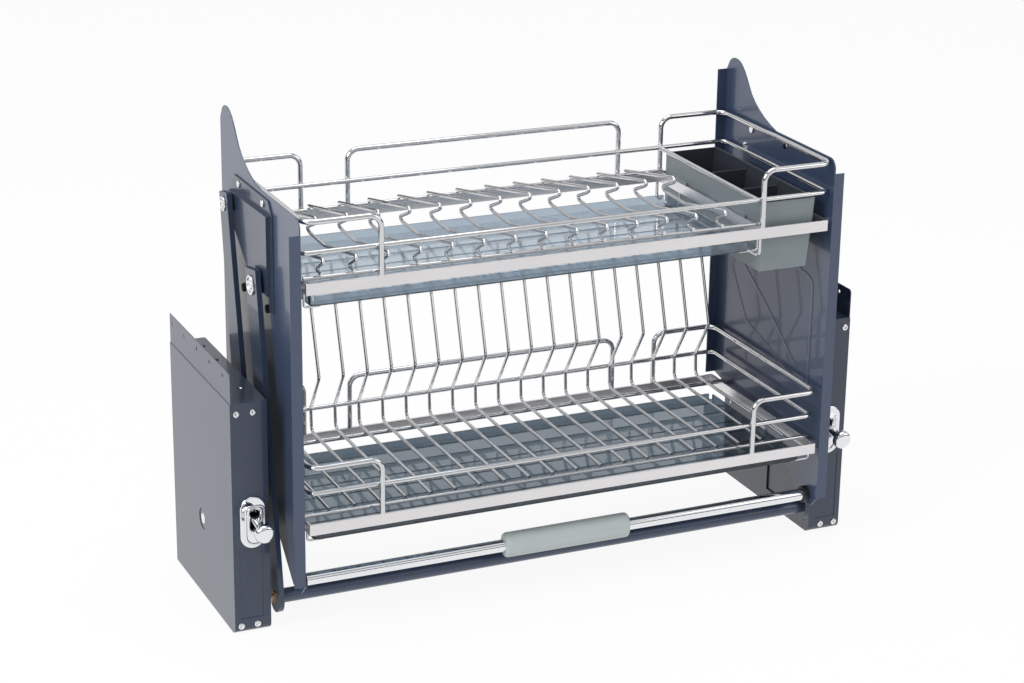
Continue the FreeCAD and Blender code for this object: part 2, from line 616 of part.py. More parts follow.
screws = []
plugs = []
lever_pins = []
pivot_pins = []
anchors = []
dampers = []
for side, word in SIDES:
    for inset in ("screw_out", "screw_in"):
        for height in ("screw_top_z", "screw_low_z"):
            spot = "%d * (outer_x - %s)" % (side, inset)
            name = "screw_%s_%s_%s" % (word, inset, height)
            head = rod_y(name + "_head", spot, "-screw_head_thick", "0", height, "screw_head")
            shank = rod_y(name + "_shank", spot, "0", "screw_long", height, "screw_shank")
            screws.append(fuse(name, [head, shank]))
    plug_shaft = rod_side("plug_shaft_%s" % word, side, "(%s - wall)" % SHELL_OUT, SHELL_OUT,
                          "plug_y", "plug_z", "plug_wide - 4")
    plug_head = rod_side("plug_head_%s" % word, side, SHELL_OUT, "(outer_x - dimple_deep / 2)",
                         "plug_y", "plug_z", "plug_wide")
    plugs.append(fuse("plug_%s" % word, [plug_shaft, plug_head]))
    lever_pins.append(rod_side("lever_pin_%s" % word, side, HOUSING_IN,
                               "(%s - wall)" % SHELL_OUT, "lever_y", "lever_z", "lever_pin"))
    pin = rod_side("pivot_pin_core_%s" % word, side, "(%s - pin_in)" % ARM_IN,
                   "(%s + 6)" % COVER_IN, "front_pivot_y", "front_pivot_z", "pin_wide")
    collar = rod_side("pivot_pin_collar_%s" % word, side, "(%s - pin_collar_thick)" % HOUSING_IN,
                      HOUSING_IN, "front_pivot_y", "front_pivot_z", "2 * front_pivot_y")
    pivot_pins.append(fuse("pivot_pin_%s" % word, [pin, collar]))
    strap_y = "(%s - pulley_radius)" % REAR_PIVOT_Y
    anchors.append(side_block(
        "spring_anchor_%s" % word, side,
        ("(pulley_x - spring_wide / 2)", "(%s - wall)" % SHELL_OUT),
        ("(%s - 14)" % strap_y, "(%s - 14 + anchor_wide)" % strap_y),
        ("anchor_z", "(anchor_z + anchor_high)")))
    case = rod_z("damper_case_%s" % word, "%d * pulley_x" % side, "damper_y", "damper_z",
                 "anchor_z", "damper_wide")
    bore = rod_z("damper_bore_%s" % word, "%d * pulley_x" % side, "damper_y", "damper_z",
                 "anchor_z - 3", "damper_bore")
    dampers.append(cut("damper_%s" % word, case, bore))
keep(group("housing_screws", screws))
keep(group("housing_plugs", plugs))
keep(group("lever_pins", lever_pins))
keep(group("front_pivot_pins", pivot_pins))
keep(group("spring_anchors", anchors))
keep(group("damper_bodies", dampers))


# Arms
def front_arm(side, word):
    offset, thick = span(side, ARM_IN, "arm_out_x")
    arm = Piece("front_arm_%s" % word, "0", "front_pivot_y", "front_pivot_z", "-arm_lean")
    half = "front_arm_wide / 2"
    web = ("outline", [
        ("-%s" % half, "arm_long"), ("-%s" % half, "0"), ("0", "-front_arm_foot * 0.5"),
        ("lobe_reach * 0.68", "-front_arm_foot * 0.5"), ("lobe_reach * 0.98", "2"),
        ("lobe_reach", "lobe_top * 0.25"), ("lobe_reach * 0.91", "lobe_top * 0.45"),
        ("lobe_reach * 0.64", "lobe_top * 0.62"), ("front_arm_wide * 0.53", "lobe_top * 0.77"),
        (half, "lobe_top"), (half, "arm_long")])
    arm.pad("YZ_Plane", offset, [web], thick)
    arm.pad("YZ_Plane", offset, [("ring", "0", "0", "2 * front_arm_foot")], thick)
    arm.pad("YZ_Plane", offset, [("ring", "0", "arm_long", "front_arm_wide")], thick)
    arm.pocket("YZ_Plane", offset, [
        ("ring", "0", "0", "bush_wide"),
        ("ring", "0", "arm_long", "bolt_wide + 2 * running_gap")], thick)
    return keep(arm)


def rear_arm(side, word):
    offset, thick = span(side, ARM_IN, "arm_out_x")
    arm = Piece("rear_arm_%s" % word, "0", REAR_PIVOT_Y, REAR_PIVOT_Z, "-arm_lean")
    web = ("outline", [
        ("-rear_arm_foot / 2", "0"), ("rear_arm_foot / 2", "0"),
        ("rear_arm_tip / 2", "arm_long"), ("-rear_arm_tip / 2", "arm_long")])
    arm.pad("YZ_Plane", offset, [web], thick)
    arm.pad("YZ_Plane", offset, [("ring", "0", "0", "rear_arm_foot")], thick)
    arm.pad("YZ_Plane", offset, [("ring", "0", "arm_long", "rear_arm_tip")], thick)
    arm.pocket("YZ_Plane", offset, [
        ("ring", "0", "0", "axle_wide"),
        ("ring", "0", "arm_long", "bolt_wide + 2 * open_gap")], thick)
    return keep(arm)


def rear_axle(side, word):
    """The axle welded in the rear arm, with the strap pulley inside the housing."""
    shaft = rod_side("axle_shaft_%s" % word, side, ARM_IN, "(%s - wall - 1)" % SHELL_OUT,
                     REAR_PIVOT_Y, REAR_PIVOT_Z, "axle_wide")
    head = rod_side("axle_head_%s" % word, side, "(%s - axle_head_thick)" % ARM_IN, ARM_IN,
                    REAR_PIVOT_Y, REAR_PIVOT_Z, "axle_head")
    pulley = rod_side("axle_pulley_%s" % word, side, "(pulley_x - pulley_wide / 2)",
                      "(pulley_x + pulley_wide / 2)", REAR_PIVOT_Y, REAR_PIVOT_Z,
                      "2 * pulley_radius")
    return keep(fuse("rear_axle_%s" % word, [shaft, head, pulley]))


def carriage(side, word):
    """The block that the strap pulls down against the spring, with the damper's rod."""
    strap_y = "(%s - pulley_radius)" % REAR_PIVOT_Y
    body = side_block("carriage_block_%s" % word, side,
                      ("(pulley_x - carriage_deep / 2)", "(pulley_x + carriage_deep / 2)"),
                      ("(%s - 14)" % strap_y, "(%s - 14 + carriage_wide)" % strap_y),
                      ("carriage_z", "(carriage_z + carriage_high)"))
    rod = rod_z("carriage_rod_%s" % word, "%d * pulley_x" % side, "damper_y",
                "carriage_z + carriage_high", "carriage_z + carriage_high + rod_reach",
                "damper_rod")
    keep(fuse("spring_carriage_%s" % word, [body, rod]))
    coil = rod_z("coil_%s" % word, "%d * pulley_x" % side, strap_y, "carriage_z + carriage_high",
                 "anchor_z", "spring_wide")
    hole = rod_z("coil_hole_%s" % word, "%d * pulley_x" % side, strap_y,
                 "carriage_z + carriage_high", "anchor_z", "spring_hole")
    keep(cut("balance_spring_%s" % word, coil, hole))
    edge = "(%s - strap_gap)" % strap_y
    keep(side_block("pull_strap_%s" % word, side,
                    ("(pulley_x - strap_wide / 2)", "(pulley_x + strap_wide / 2)"),
                    ("(%s - strap_thick)" % edge, edge), (REAR_PIVOT_Z, "carriage_z")))


bushes = []
for side, word in SIDES:
    front_arm(side, word)
    rear_arm(side, word)
    rear_axle(side, word)
    carriage(side, word)
    sleeve = rod_side("bush_sleeve_%s" % word, side, ARM_IN,
                      "(arm_out_x + bush_collar_thick)", "front_pivot_y", "front_pivot_z",
                      "bush_wide")
    collar = rod_side("bush_collar_%s" % word, side, "arm_out_x",
                      "(arm_out_x + bush_collar_thick)", "front_pivot_y", "front_pivot_z",
                      "bush_collar")
    bore = rod_side("bush_bore_%s" % word, side, "(%s - 1)" % ARM_IN,
                    "(arm_out_x + bush_collar_thick + 1)", "front_pivot_y", "front_pivot_z",
                    "pin_wide + 2 * running_gap")
    bushes.append(cut("bush_%s" % word, fuse("bush_body_%s" % word, [sleeve, collar]), bore))
keep(group("arm_bushes", bushes))
tube_out = rod_x("sync_tube_out", "-(%s)" % ARM_IN, ARM_IN, "front_pivot_y", "front_pivot_z",
                 "tube_wide")
tube_in = rod_x("sync_tube_in", "-(%s) - 1" % ARM_IN, "%s + 1" % ARM_IN, "front_pivot_y",
                "front_pivot_z", "tube_wide - 2 * tube_wall")
keep(cut("sync_tube", tube_out, tube_in))


# Basket panels with the arm brackets
def side_panel(side, word):
    offset, thick = span(side, "panel_x", "(panel_x + sheet)")
    panel = Piece("side_panel_%s" % word)
    horn_run = "(panel_rear - horn_start)"
    horn_rise = "(horn_top - panel_top)"
    horn = [("0.12", "0.06"), ("0.24", "0.145"), ("0.35", "0.25"), ("0.43", "0.348"),
            ("0.50", "0.46"), ("0.553", "0.59"), ("0.603", "0.72"), ("0.65", "0.826"),
            ("0.70", "0.912"), ("0.745", "0.966"), ("0.795", "0.995"), ("0.845", "1.0"),
            ("0.89", "0.985"), ("0.94", "0.925")]
    points = [("-panel_front", "lip_low"), ("-panel_front + panel_corner", "panel_low"),
              ("-panel_foot_y", "panel_low"), ("step_y * 0.5", "(panel_low + step_z) / 2 + 8"),
              ("step_y", "step_z"), ("panel_rear", "panel_heel_z"), ("panel_rear", "horn_heel")]
    for run, rise in reversed(horn):
        points.append(("horn_start + %s * %s" % (horn_run, run),
                       "panel_top + %s * %s" % (horn_rise, rise)))
    points.append(("horn_start", "panel_top"))
    points.append(("-panel_front", "panel_top"))
    panel.pad("YZ_Plane", offset, [("outline", points)], thick)
    panel.fillet(lambda edge: along(edge, VEC(1, 0, 0))
                 and near(edge, v="-panel_front", w="panel_top"), "panel_corner")
    lip, wide = span(side, "panel_x", "(panel_x + lip_front)")
    left = lip
    right = "(%s) + (%s)" % (lip, wide)
    panel.pad("XZ_Plane", "panel_front - sheet", [rectangle(left, "lip_low", right, "lip_top")],
              "sheet")
    lip, wide = span(side, "(panel_x - lip_rear)", "(panel_x + sheet)")
    left = lip
    right = "(%s) + (%s)" % (lip, wide)
    panel.pad("XZ_Plane", "-panel_rear", [rectangle(left, "panel_heel_z", right, "horn_heel")],
              "sheet")
    holes = []
    for depth in ("-fixing_front", "fixing_rear"):
        for height in ("upper_bar_z + upper_bar_high / 2", "lower_bar_z + lower_bar_high / 2"):
            holes.append(("ring", depth, height, "fixing_wide"))
    holes.append(("ring", "-handle_y", "handle_z", "fixing_wide"))
    for depth in ("bracket_screw_front", "bracket_screw_rear"):
        holes.append(("ring", depth, "bracket_screw_z", "fixing_wide"))
    for depth, height in ((UPPER_Y, UPPER_Z), (UPPER_REAR_Y, UPPER_REAR_Z)):
        holes.append(("ring", depth, height, "bolt_wide"))
    panel.pocket("YZ_Plane", offset, holes, thick)
    return keep(panel)


def arm_bracket(side, word):
    base, thin = span(side, "(panel_x + sheet)", "(panel_x + sheet + bracket_base)")
    rise, thick = span(side, "(panel_x + sheet + bracket_base)", BRACKET_FACE)
    bracket = Piece("arm_bracket_%s" % word)
    plate = [("bracket_front", "bracket_low + 4"), ("bracket_front + 60", "bracket_low"),
             ("bracket_rear + 10", "%s - 14" % UPPER_REAR_Z),
             ("bracket_rear + 10", "bracket_top - 20"), ("bracket_rear - 6", "bracket_top"),
             ("bracket_front + 14", "bracket_top"), ("bracket_front", "bracket_top - 15")]
    bracket.pad("YZ_Plane", base, [("outline", plate)], thin)
    tab = rectangle("bracket_front", "tab_low", "bracket_front + tab_wide", "bracket_low + 8")
    bracket.pad("YZ_Plane", base, [tab], thin)
    raised = [("bracket_front + 6", "bracket_low + 10"), ("bracket_front + 56", "bracket_low + 5"),
              ("bracket_rear + 5", "%s - 12" % UPPER_REAR_Z),
              ("bracket_rear + 3", "bracket_top - 21"), ("bracket_front + 6", "bracket_top - 17")]
    bracket.pad("YZ_Plane", rise, [("outline", raised)], thick)
    whole, deep = span(side, "(panel_x + sheet)", BRACKET_FACE)
    bracket.pocket("YZ_Plane", whole, [
        ("ring", UPPER_Y, UPPER_Z, "bolt_wide"), ("ring", UPPER_REAR_Y, UPPER_REAR_Z, "bolt_wide"),
        ("ring", "bracket_screw_front", "bracket_screw_z", "fixing_wide"),
        ("ring", "bracket_screw_rear", "bracket_screw_z", "fixing_wide")], deep)
    return keep(bracket)


pivot_bolts = []
spacers = []
bumpers = []
fixings = []
handle_bushes = []
for side, word in SIDES:
    side_panel(side, word)
    arm_bracket(side, word)
    for place, depth, height, disc in (
            ("front", UPPER_Y, UPPER_Z, "cap_wide"),
            ("rear", UPPER_REAR_Y, UPPER_REAR_Z, "cap_rear_wide")):
        name = "%s_bolt_%s" % (place, word)
        shaft = rod_side(name + "_shaft", side, "(panel_x - swage_thick)",
                         "(arm_out_x + cap_gap)", depth, height, "bolt_wide")
        cap = rod_side(name + "_cap", side, "(arm_out_x + cap_gap)",
                       "(arm_out_x + cap_gap + cap_thick)", depth, height, disc)
        nut = rod_side(name + "_nut", side, "(panel_x - swage_thick)", "panel_x", depth, height,
                       "bolt_wide + 5")
        pivot_bolts.append(fuse(name, [shaft, cap, nut]))
        ring = rod_side("spacer_out_%s_%s" % (place, word), side, BRACKET_FACE,
                        "(%s - seat_gap)" % ARM_IN, depth, height, "spacer_wide")
        hole = rod_side("spacer_in_%s_%s" % (place, word), side, BRACKET_FACE,
                        "(%s - seat_gap)" % ARM_IN, depth, height, "bolt_wide")
        spacers.append(cut("spacer_%s_%s" % (place, word), ring, hole))
    for place in ("bumper_front_y", "bumper_rear_y"):
        bumpers.append(rod_side("%s_%s" % (place, word), side, "(panel_x + sheet)",
                                "(panel_x + sheet + bumper_thick)", place,
                                "bumper_z - bumper_wide", "bumper_wide"))
    for place in ("bracket_screw_front", "bracket_screw_rear"):
        name = "%s_%s" % (place, word)
        shank = rod_side(name + "_shank", side, "panel_x", "(panel_x + sheet + bracket_base)",
                         place, "bracket_screw_z", "fixing_wide")
        inner = rod_side(name + "_head", side, "(panel_x - head_thick)", "panel_x", place,
                         "bracket_screw_z", "bracket_screw")
        outer = rod_side(name + "_nut", side, "(panel_x + sheet + bracket_base)",
                         "(panel_x + sheet + bracket_base + head_thick)", place,
                         "bracket_screw_z", "bracket_screw")
        fixings.append(fuse(name, [shank, inner, outer]))
    for depth, tag in (("-fixing_front", "front"), ("fixing_rear", "rear")):
        for height, shelf in (("upper_bar_z + upper_bar_high / 2", "upper"),
                              ("lower_bar_z + lower_bar_high / 2", "lower")):
            name = "fixing_%s_%s_%s" % (shelf, tag, word)
            post = rod_side(name + "_post", side, "frame_x", "(panel_x + sheet)", depth, height,
                            "fixing_wide")
            head = rod_side(name + "_head", side, "(panel_x + sheet)",
                            "(panel_x + sheet + head_thick)", depth, height, "fixing_head")
            washer = rod_side(name + "_washer", side, "frame_x", "panel_x", depth, height,
                              "fixing_head")
            fixings.append(fuse(name, [post, head, washer]))
    name = "handle_screw_%s" % word
    post = rod_side(name + "_post", side, "panel_x", "(panel_x + sheet)", "-handle_y",
                    "handle_z", "fixing_wide")
    head = rod_side(name + "_head", side, "(panel_x + sheet)", "(panel_x + sheet + head_thick)",
                    "-handle_y", "handle_z", "fixing_head")
    fixings.append(fuse(name, [post, head]))
    ring = rod_side("handle_bush_out_%s" % word, side, "(panel_x - handle_bush_thick)",
                    "panel_x", "-handle_y", "handle_z", "handle_bush")
    hole = rod_side("handle_bush_in_%s" % word, side, "(panel_x - handle_bush_thick)",
                    "(panel_x - 1)", "-handle_y", "handle_z", "handle_wide")
    handle_bushes.append(cut("handle_bush_%s" % word, ring, hole))
keep(group("pivot_bolts", pivot_bolts))
keep(group("pivot_spacers", spacers))
keep(group("rubber_bumpers", bumpers))
keep(group("basket_fixings", fixings))
keep(group("handle_bushes", handle_bushes))

bar_out = rod_x("handle_out", "-panel_x + 1", "panel_x - 1", "-handle_y", "handle_z",
                "handle_wide")
bar_in = rod_x("handle_in", "-panel_x", "panel_x", "-handle_y", "handle_z",
               "handle_wide - 2 * handle_wall")
keep(cut("handle_bar", bar_out, bar_in))

grip = Piece("handle_grip", "grip_x", "-handle_y", "handle_z")
grip.pad("YZ_Plane", "-grip_long / 2", [("stadium", "0", "0", "grip_deep", "grip_high")],
         "grip_long")
grip.fillet(lambda edge: near(edge, u="-grip_long / 2")
            or near(edge, u="grip_long / 2"), "grip_round")
grip.pocket("YZ_Plane", "-grip_long / 2", [("ring", "0", "0", "handle_wide")], "grip_long")
keep(grip)


# Shelf frames
def shelf_frame(label, low, high, divider):
    """Flat bars on edge, welded at the corners."""
    level = (low, "(%s + %s)" % (low, high))
    inner = "(frame_x - bar_thick)"
    bars = [
        block(label + "_front", ("-frame_x", "frame_x"), ("-bar_front", "-bar_front + bar_thick"),
              level),
        block(label + "_rear", ("-frame_x", "frame_x"), ("bar_rear - bar_thick", "bar_rear"),
              level),
        block(label + "_left", ("-frame_x", "-%s" % inner), ("-bar_front", "bar_rear"), level),
        block(label + "_right", (inner, "frame_x"), ("-bar_front", "bar_rear"), level)]
    if divider:
        bars.append(block(label + "_divider",
                          ("divider_x - bar_thick / 2", "divider_x + bar_thick / 2"),
                          ("-bar_front", "bar_rear"), level))
    return keep(fuse(label, bars))


def guards(shelf, side_x, top, foot):
    """Three bent rods: one loop on each side and one across the rear."""
    for side, word in SIDES:
        out = "%d * %s" % (side, side_x)
        leg = "%d * guard_leg" % side
        keep(bent_rod("%s_guard_%s" % (shelf, word), [
            (leg, BAR_FRONT, foot), (leg, BAR_FRONT, top), (out, BAR_FRONT, top),
            (out, BAR_REAR, top), (leg, BAR_REAR, top), (leg, BAR_REAR, foot)],
            "guard_wire", "guard_bend"))
    keep(bent_rod("%s_guard_rear" % shelf, [
        ("-rear_leg", BAR_REAR, foot), ("-rear_leg", BAR_REAR, top), ("rear_leg", BAR_REAR, top),
        ("rear_leg", BAR_REAR, foot)], "guard_wire", "guard_bend"))


def closed_ring(label, left, right, height):
    """A rod bent to a flat rectangle just inside the guard legs, welded at its ends."""
    inset = "(guard_wire / 2 + ring_wire / 2)"
    front = "(%s + %s)" % (BAR_FRONT, inset)
    rear = "(%s - %s)" % (BAR_REAR, inset)
    middle = "0"
    return bent_rod(label, [(middle, front, height), (left, front, height), (left, rear, height),
                            (right, rear, height), (right, front, height),
                            (middle, front, height)], "ring_wire", "ring_bend")


shelf_frame("upper_frame", "upper_bar_z", "upper_bar_high", True)
shelf_frame("lower_frame", "lower_bar_z", "lower_bar_high", False)
guards("upper", "upper_guard_x", "upper_guard_z", "(upper_bar_z + upper_bar_high)")
guards("lower", "lower_guard_x", "lower_guard_z", "(lower_bar_z + lower_bar_high)")

ring_inset = "(guard_wire / 2 + ring_wire / 2)"
bowl_ring = closed_ring("upper_ring_loop", "-upper_ring_x", "upper_ring_x", "upper_ring_z")
ring_rod = rod_y("upper_ring_rod", "ring_rod_x",
                 "(%s + %s + ring_wire / 2)" % (BAR_FRONT, ring_inset),
                 "(%s - %s - ring_wire / 2)" % (BAR_REAR, ring_inset), "upper_ring_z",
                 "ring_wire")
keep(group("upper_ring", [bowl_ring, ring_rod]))
keep(closed_ring("lower_ring", "-lower_ring_x", "lower_ring_x", "lower_ring_z"))

upper_rod_z = "(upper_bar_z + upper_bar_high + cross_rod / 2)"
keep(group("upper_cross_rods", [
    rod_x("upper_rod_a", "-frame_x", "divider_x", "-upper_rod_front", upper_rod_z, "cross_rod"),
    rod_x("upper_rod_b", "-frame_x", "divider_x", "upper_rod_rear", upper_rod_z, "cross_rod")]))
lower_top = "(lower_bar_z + lower_bar_high)"
keep(group("lower_cross_rods", [
    rod_x("lower_rod_a", "-frame_x", "frame_x", "-lower_rod_front",
          "(%s + cross_rod / 2)" % lower_top, "cross_rod"),
    rod_x("lower_rod_b", "-frame_x", "frame_x", "lower_rod_rear",
          "(%s + thick_rod / 2)" % lower_top, "thick_rod"),
    rod_x("lower_rod_c", "-panel_x", "panel_x", "rail_y", "rail_z", "cross_rod")]))

bowl_z = "(upper_bar_z + upper_bar_high + cross_rod + wire / 2)"
bowl_path = [("upper_rod_rear + wire_end", "0"), ("peak_y", "peak_rise"),
             ("peak_y - peak_turn", "peak_rise - peak_turn"),
             ("peak_y", "peak_rise - 2 * peak_turn"), ("dip_y", "dip_rise"),
             ("dip_y + dip_turn", "dip_rise - dip_step"), ("dip_y", "dip_rise - 2 * dip_step"),
             ("flat_y", "flat_rise"), ("-slope_y", "slope_rise"), ("-nose_y", "nose_rise"),
             ("-nose_y - nose_turn", "nose_rise - nose_turn"), ("-tuck_y", "flat_rise"),
             ("-upper_rod_front - wire_end", "0")]
keep(wire_row("upper_bowl_wires", "-bowl_first",
              [(y, "%s + %s" % (bowl_z, rise)) for y, rise in bowl_path], "wire", "bowl_count",
              "bowl_pitch", "Right corner"))
floor_z = "(%s + thick_rod + wire / 2)" % lower_top
keep(wire_row("lower_floor_wires", "-plate_first", [
    ("-lower_rod_front", "%s + cross_rod + wire / 2" % lower_top),
    ("floor_bend_y", floor_z),
    ("lower_rod_rear + rack_end", floor_z)], "wire", "plate_count", "plate_pitch"))
keep(wire_row("lower_rack_wires", "-plate_first", [
    ("lower_rod_rear + rack_end", floor_z), ("rack_foot_y", floor_z),
    ("rack_turn_y", "rack_turn_z"), ("rack_in_y", "rack_in_z"), ("rack_out_y", "rack_out_z"),
    ("rail_y - cross_rod / 2 - wire / 2", "rail_z")], "wire", "plate_count",
    "plate_pitch"))

# Cradle and hooks
keep(bent_rod("cutlery_cradle", [
    ("cradle_x", BAR_FRONT, "upper_bar_z"), ("cradle_x", BAR_FRONT, "cradle_z"),
    ("cradle_x", BAR_REAR, "cradle_z"), ("cradle_x", BAR_REAR, "upper_bar_z")],
    "cradle_wire", "cradle_bend"))

hooks = []
side_bar = "(frame_x - bar_thick / 2)"
for shelf, under, tray, right_leg in (
        ("upper", "upper_bar_z", "upper_tray_z", "divider_x"),
        ("lower", "lower_bar_z", "lower_tray_z", side_bar)):
    level = "(%s - seat_gap - hook_wire / 2)" % tray
    for depth, place in (("-hook_front", "front"), ("hook_rear", "rear")):
        hooks.append(bent_rod("hook_%s_%s_left" % (shelf, place), [
            ("-%s" % side_bar, depth, under), ("-%s" % side_bar, depth, level),
            ("-(%s - hook_reach)" % side_bar, depth, level)], "hook_wire", "hook_bend"))
        hooks.append(bent_rod("hook_%s_%s_right" % (shelf, place), [
            (right_leg, depth, under), (right_leg, depth, level),
            ("(%s - hook_reach - 5)" % right_leg, depth, level)], "hook_wire", "hook_bend"))
keep(group("tray_hooks", hooks))


# Drip trays and cutlery box
def drip_tray(label, right, rear, low, high):
    tray = Piece(label)
    tray.pad("XY_Plane", low, [rectangle("-tray_left", "-tray_front", right, rear)], high)
    tray.fillet(lambda edge: along(edge, VEC(0, 0, 1)), "tray_corner")
    tray.pocket("XY_Plane", "%s + tray_wall" % low, [
        rectangle("-tray_left + tray_wall", "-tray_front + tray_wall", "%s - tray_wall" % right,
                  "%s - tray_wall" % rear)], high)
    return keep(tray)


drip_tray("upper_drip_tray", "upper_tray_right", "upper_tray_rear", "upper_tray_z",
          "upper_tray_high")
drip_tray("lower_drip_tray", "lower_tray_right", "lower_tray_rear", "lower_tray_z",
          "lower_tray_high")

box = Piece("cutlery_box")
box_top = "(box_z + box_high)"
box.pad("XZ_Plane", "-box_rear", [("outline", [
    ("box_left", "box_z"), ("box_foot", "box_z"), ("box_right", box_top),
    ("box_left", box_top)])], "box_rear + box_front")
lean = "(box_right - box_foot) / box_high"
floor = "(box_z + box_wall)"
cells = (("-box_front + box_wall", "box_split_one - box_wall / 2"),
         ("box_split_one + box_wall / 2", "box_split_two - box_wall / 2"),
         ("box_split_two + box_wall / 2", "box_rear - box_wall"))
for start, end in cells:
    box.pocket("XZ_Plane", "-(%s)" % end, [("outline", [
        ("box_left + box_wall", floor), ("box_foot - box_wall", floor),
        ("box_right - box_wall", "%s + 1" % box_top),
        ("box_left + box_wall", "%s + 1" % box_top)])], "(%s) - (%s)" % (end, start))
box.pocket("XZ_Plane", "-(box_rear - box_wall)", [("outline", [
    ("box_left + box_wall", "%s - box_split_drop" % box_top),
    ("box_right - box_wall - 3", "%s - box_split_drop" % box_top),
    ("box_right - box_wall - 1", "%s + 1" % box_top),
    ("box_left + box_wall", "%s + 1" % box_top)])], "box_rear + box_front - 2 * box_wall")
lug_z = "(upper_bar_z + upper_bar_high + seat_gap)"
lean_x = "(box_foot + (box_right - box_foot) * (%s - box_z) / box_high)" % lug_z
lugs = []
for start in ("-lug_front", "lug_rear"):
    lugs.append(rectangle("divider_x - bar_thick / 2 + seat_gap", start, "box_left + lug_root",
                          "%s + lug_long" % start))
lugs.append(rectangle("%s - lug_root" % lean_x, "lug_middle",
                      "upper_ring_x - ring_wire / 2 - seat_gap", "lug_middle + lug_long"))
box.pad("XY_Plane", lug_z, lugs, "lug_thick")
keep(box)

doc.recompute()

# Checks before anything is written
os.makedirs("parts", exist_ok=True)
faults = []
for item in doc.Objects:
    if "Invalid" in item.State or "Error" in item.State:
        faults.append("%s: %s" % (item.Label, item.State))
for item in NODES:
    if item.Shape.isNull() or not item.Shape.isValid():
        faults.append("%s: bad shape" % item.Label)
    if not item.Shape.Solids:
        faults.append("%s: no solid" % item.Label)
labels = [item.Label for item in NODES]
if len(set(labels)) != len(labels):
    faults.append("two sub-parts share a label")
if faults:
    raise RuntimeError("; ".join(faults))
for item in NODES:
    item.Shape.exportStep("parts/%s.step" % item.Label)
print("wrote", len(NODES), "parts")
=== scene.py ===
import json
import logging
import math
from dataclasses import dataclass
from enum import Enum
from typing import Sequence

import bpy
from mathutils import Matrix, Vector

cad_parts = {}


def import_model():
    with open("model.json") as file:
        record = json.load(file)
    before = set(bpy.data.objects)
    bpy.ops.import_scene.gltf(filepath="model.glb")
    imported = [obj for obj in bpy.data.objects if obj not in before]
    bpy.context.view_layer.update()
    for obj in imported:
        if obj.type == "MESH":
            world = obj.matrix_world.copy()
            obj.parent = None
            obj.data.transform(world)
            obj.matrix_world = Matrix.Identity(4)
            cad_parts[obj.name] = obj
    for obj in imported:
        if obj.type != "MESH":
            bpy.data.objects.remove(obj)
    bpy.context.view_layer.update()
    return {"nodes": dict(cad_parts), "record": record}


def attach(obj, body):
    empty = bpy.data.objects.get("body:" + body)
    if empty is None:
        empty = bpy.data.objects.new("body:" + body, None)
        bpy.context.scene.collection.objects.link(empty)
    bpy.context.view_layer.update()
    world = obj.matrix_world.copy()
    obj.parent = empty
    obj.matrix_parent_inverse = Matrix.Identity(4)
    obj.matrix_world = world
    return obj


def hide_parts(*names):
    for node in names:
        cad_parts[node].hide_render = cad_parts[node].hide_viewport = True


LOG = logging.getLogger("dish_rack")

# One millimetre in the frame's metres
MM = 0.001
# The housings' front face in the frame, from which the depths below are counted
FRONT_Y = -92.9
# How strongly a finish's grain tilts the surface
GRAIN_STRENGTH = 0.35
# The band of a noise between which its gloss changes
GLOSS_BAND = (0.3, 0.7)

Piece = bpy.types.Object
Tree = bpy.types.NodeTree
Point = tuple[float, float, float]
Colour = tuple[float, float, float, float]
Profile = Sequence[tuple[float, float]]


class Side(Enum):
    """The user's left and right, as the sign of x."""

    LEFT = -1
    RIGHT = 1

    @property
    def word(self) -> str:
        """Return the side's name, as the CAD pieces end in it."""
        return self.name.lower()


def at(x: float, y: float, z: float) -> Vector:
    """Return a place in the frame.

    Args:
        x: Millimetres to the user's right of the middle of the rack.
        y: Millimetres behind the front face of the housings.
        z: Millimetres above the bottom of the housings.

    Returns:
        The place in metres.
    """
    return Vector((x * MM, (y + FRONT_Y) * MM, z * MM))


def linear(code: str, alpha: float = 1.0) -> Colour:
    """Turn an sRGB hex value into a linear colour.

    Args:
        code: Six hex digits with a leading hash.
        alpha: The fourth channel.

    Returns:
        The linear colour.
    """
    parts = []
    for start in (1, 3, 5):
        value = int(code[start:start + 2], 16) / 255
        parts.append(value / 12.92 if value <= 0.04045 else ((value + 0.055) / 1.055) ** 2.4)
    return parts[0], parts[1], parts[2], alpha


def fresh_tree(owner: bpy.types.Material | bpy.types.World) -> Tree:
    """Give a material or a world an empty node tree and return it."""
    owner.use_nodes = True
    owner.node_tree.nodes.clear()
    return owner.node_tree


def node(tree: Tree, kind: str, settings: dict | None = None,
         links: dict | None = None) -> bpy.types.Node:
    """Add a shader node.

    Args:
        tree: The node tree.
        kind: The node's type name.
        settings: Attribute names, or socket names and numbers, with their values.
        links: Input sockets with the output socket that feeds each.

    Returns:
        The new node.
    """
    item = tree.nodes.new(kind)
    for name, value in (settings or {}).items():
        if isinstance(name, int):
            item.inputs[name].default_value = value
        elif name in item.inputs and not hasattr(item, name):
            item.inputs[name].default_value = value
        else:
            setattr(item, name, value)
    for socket, source in (links or {}).items():
        tree.links.new(source, item.inputs[socket])
    return item


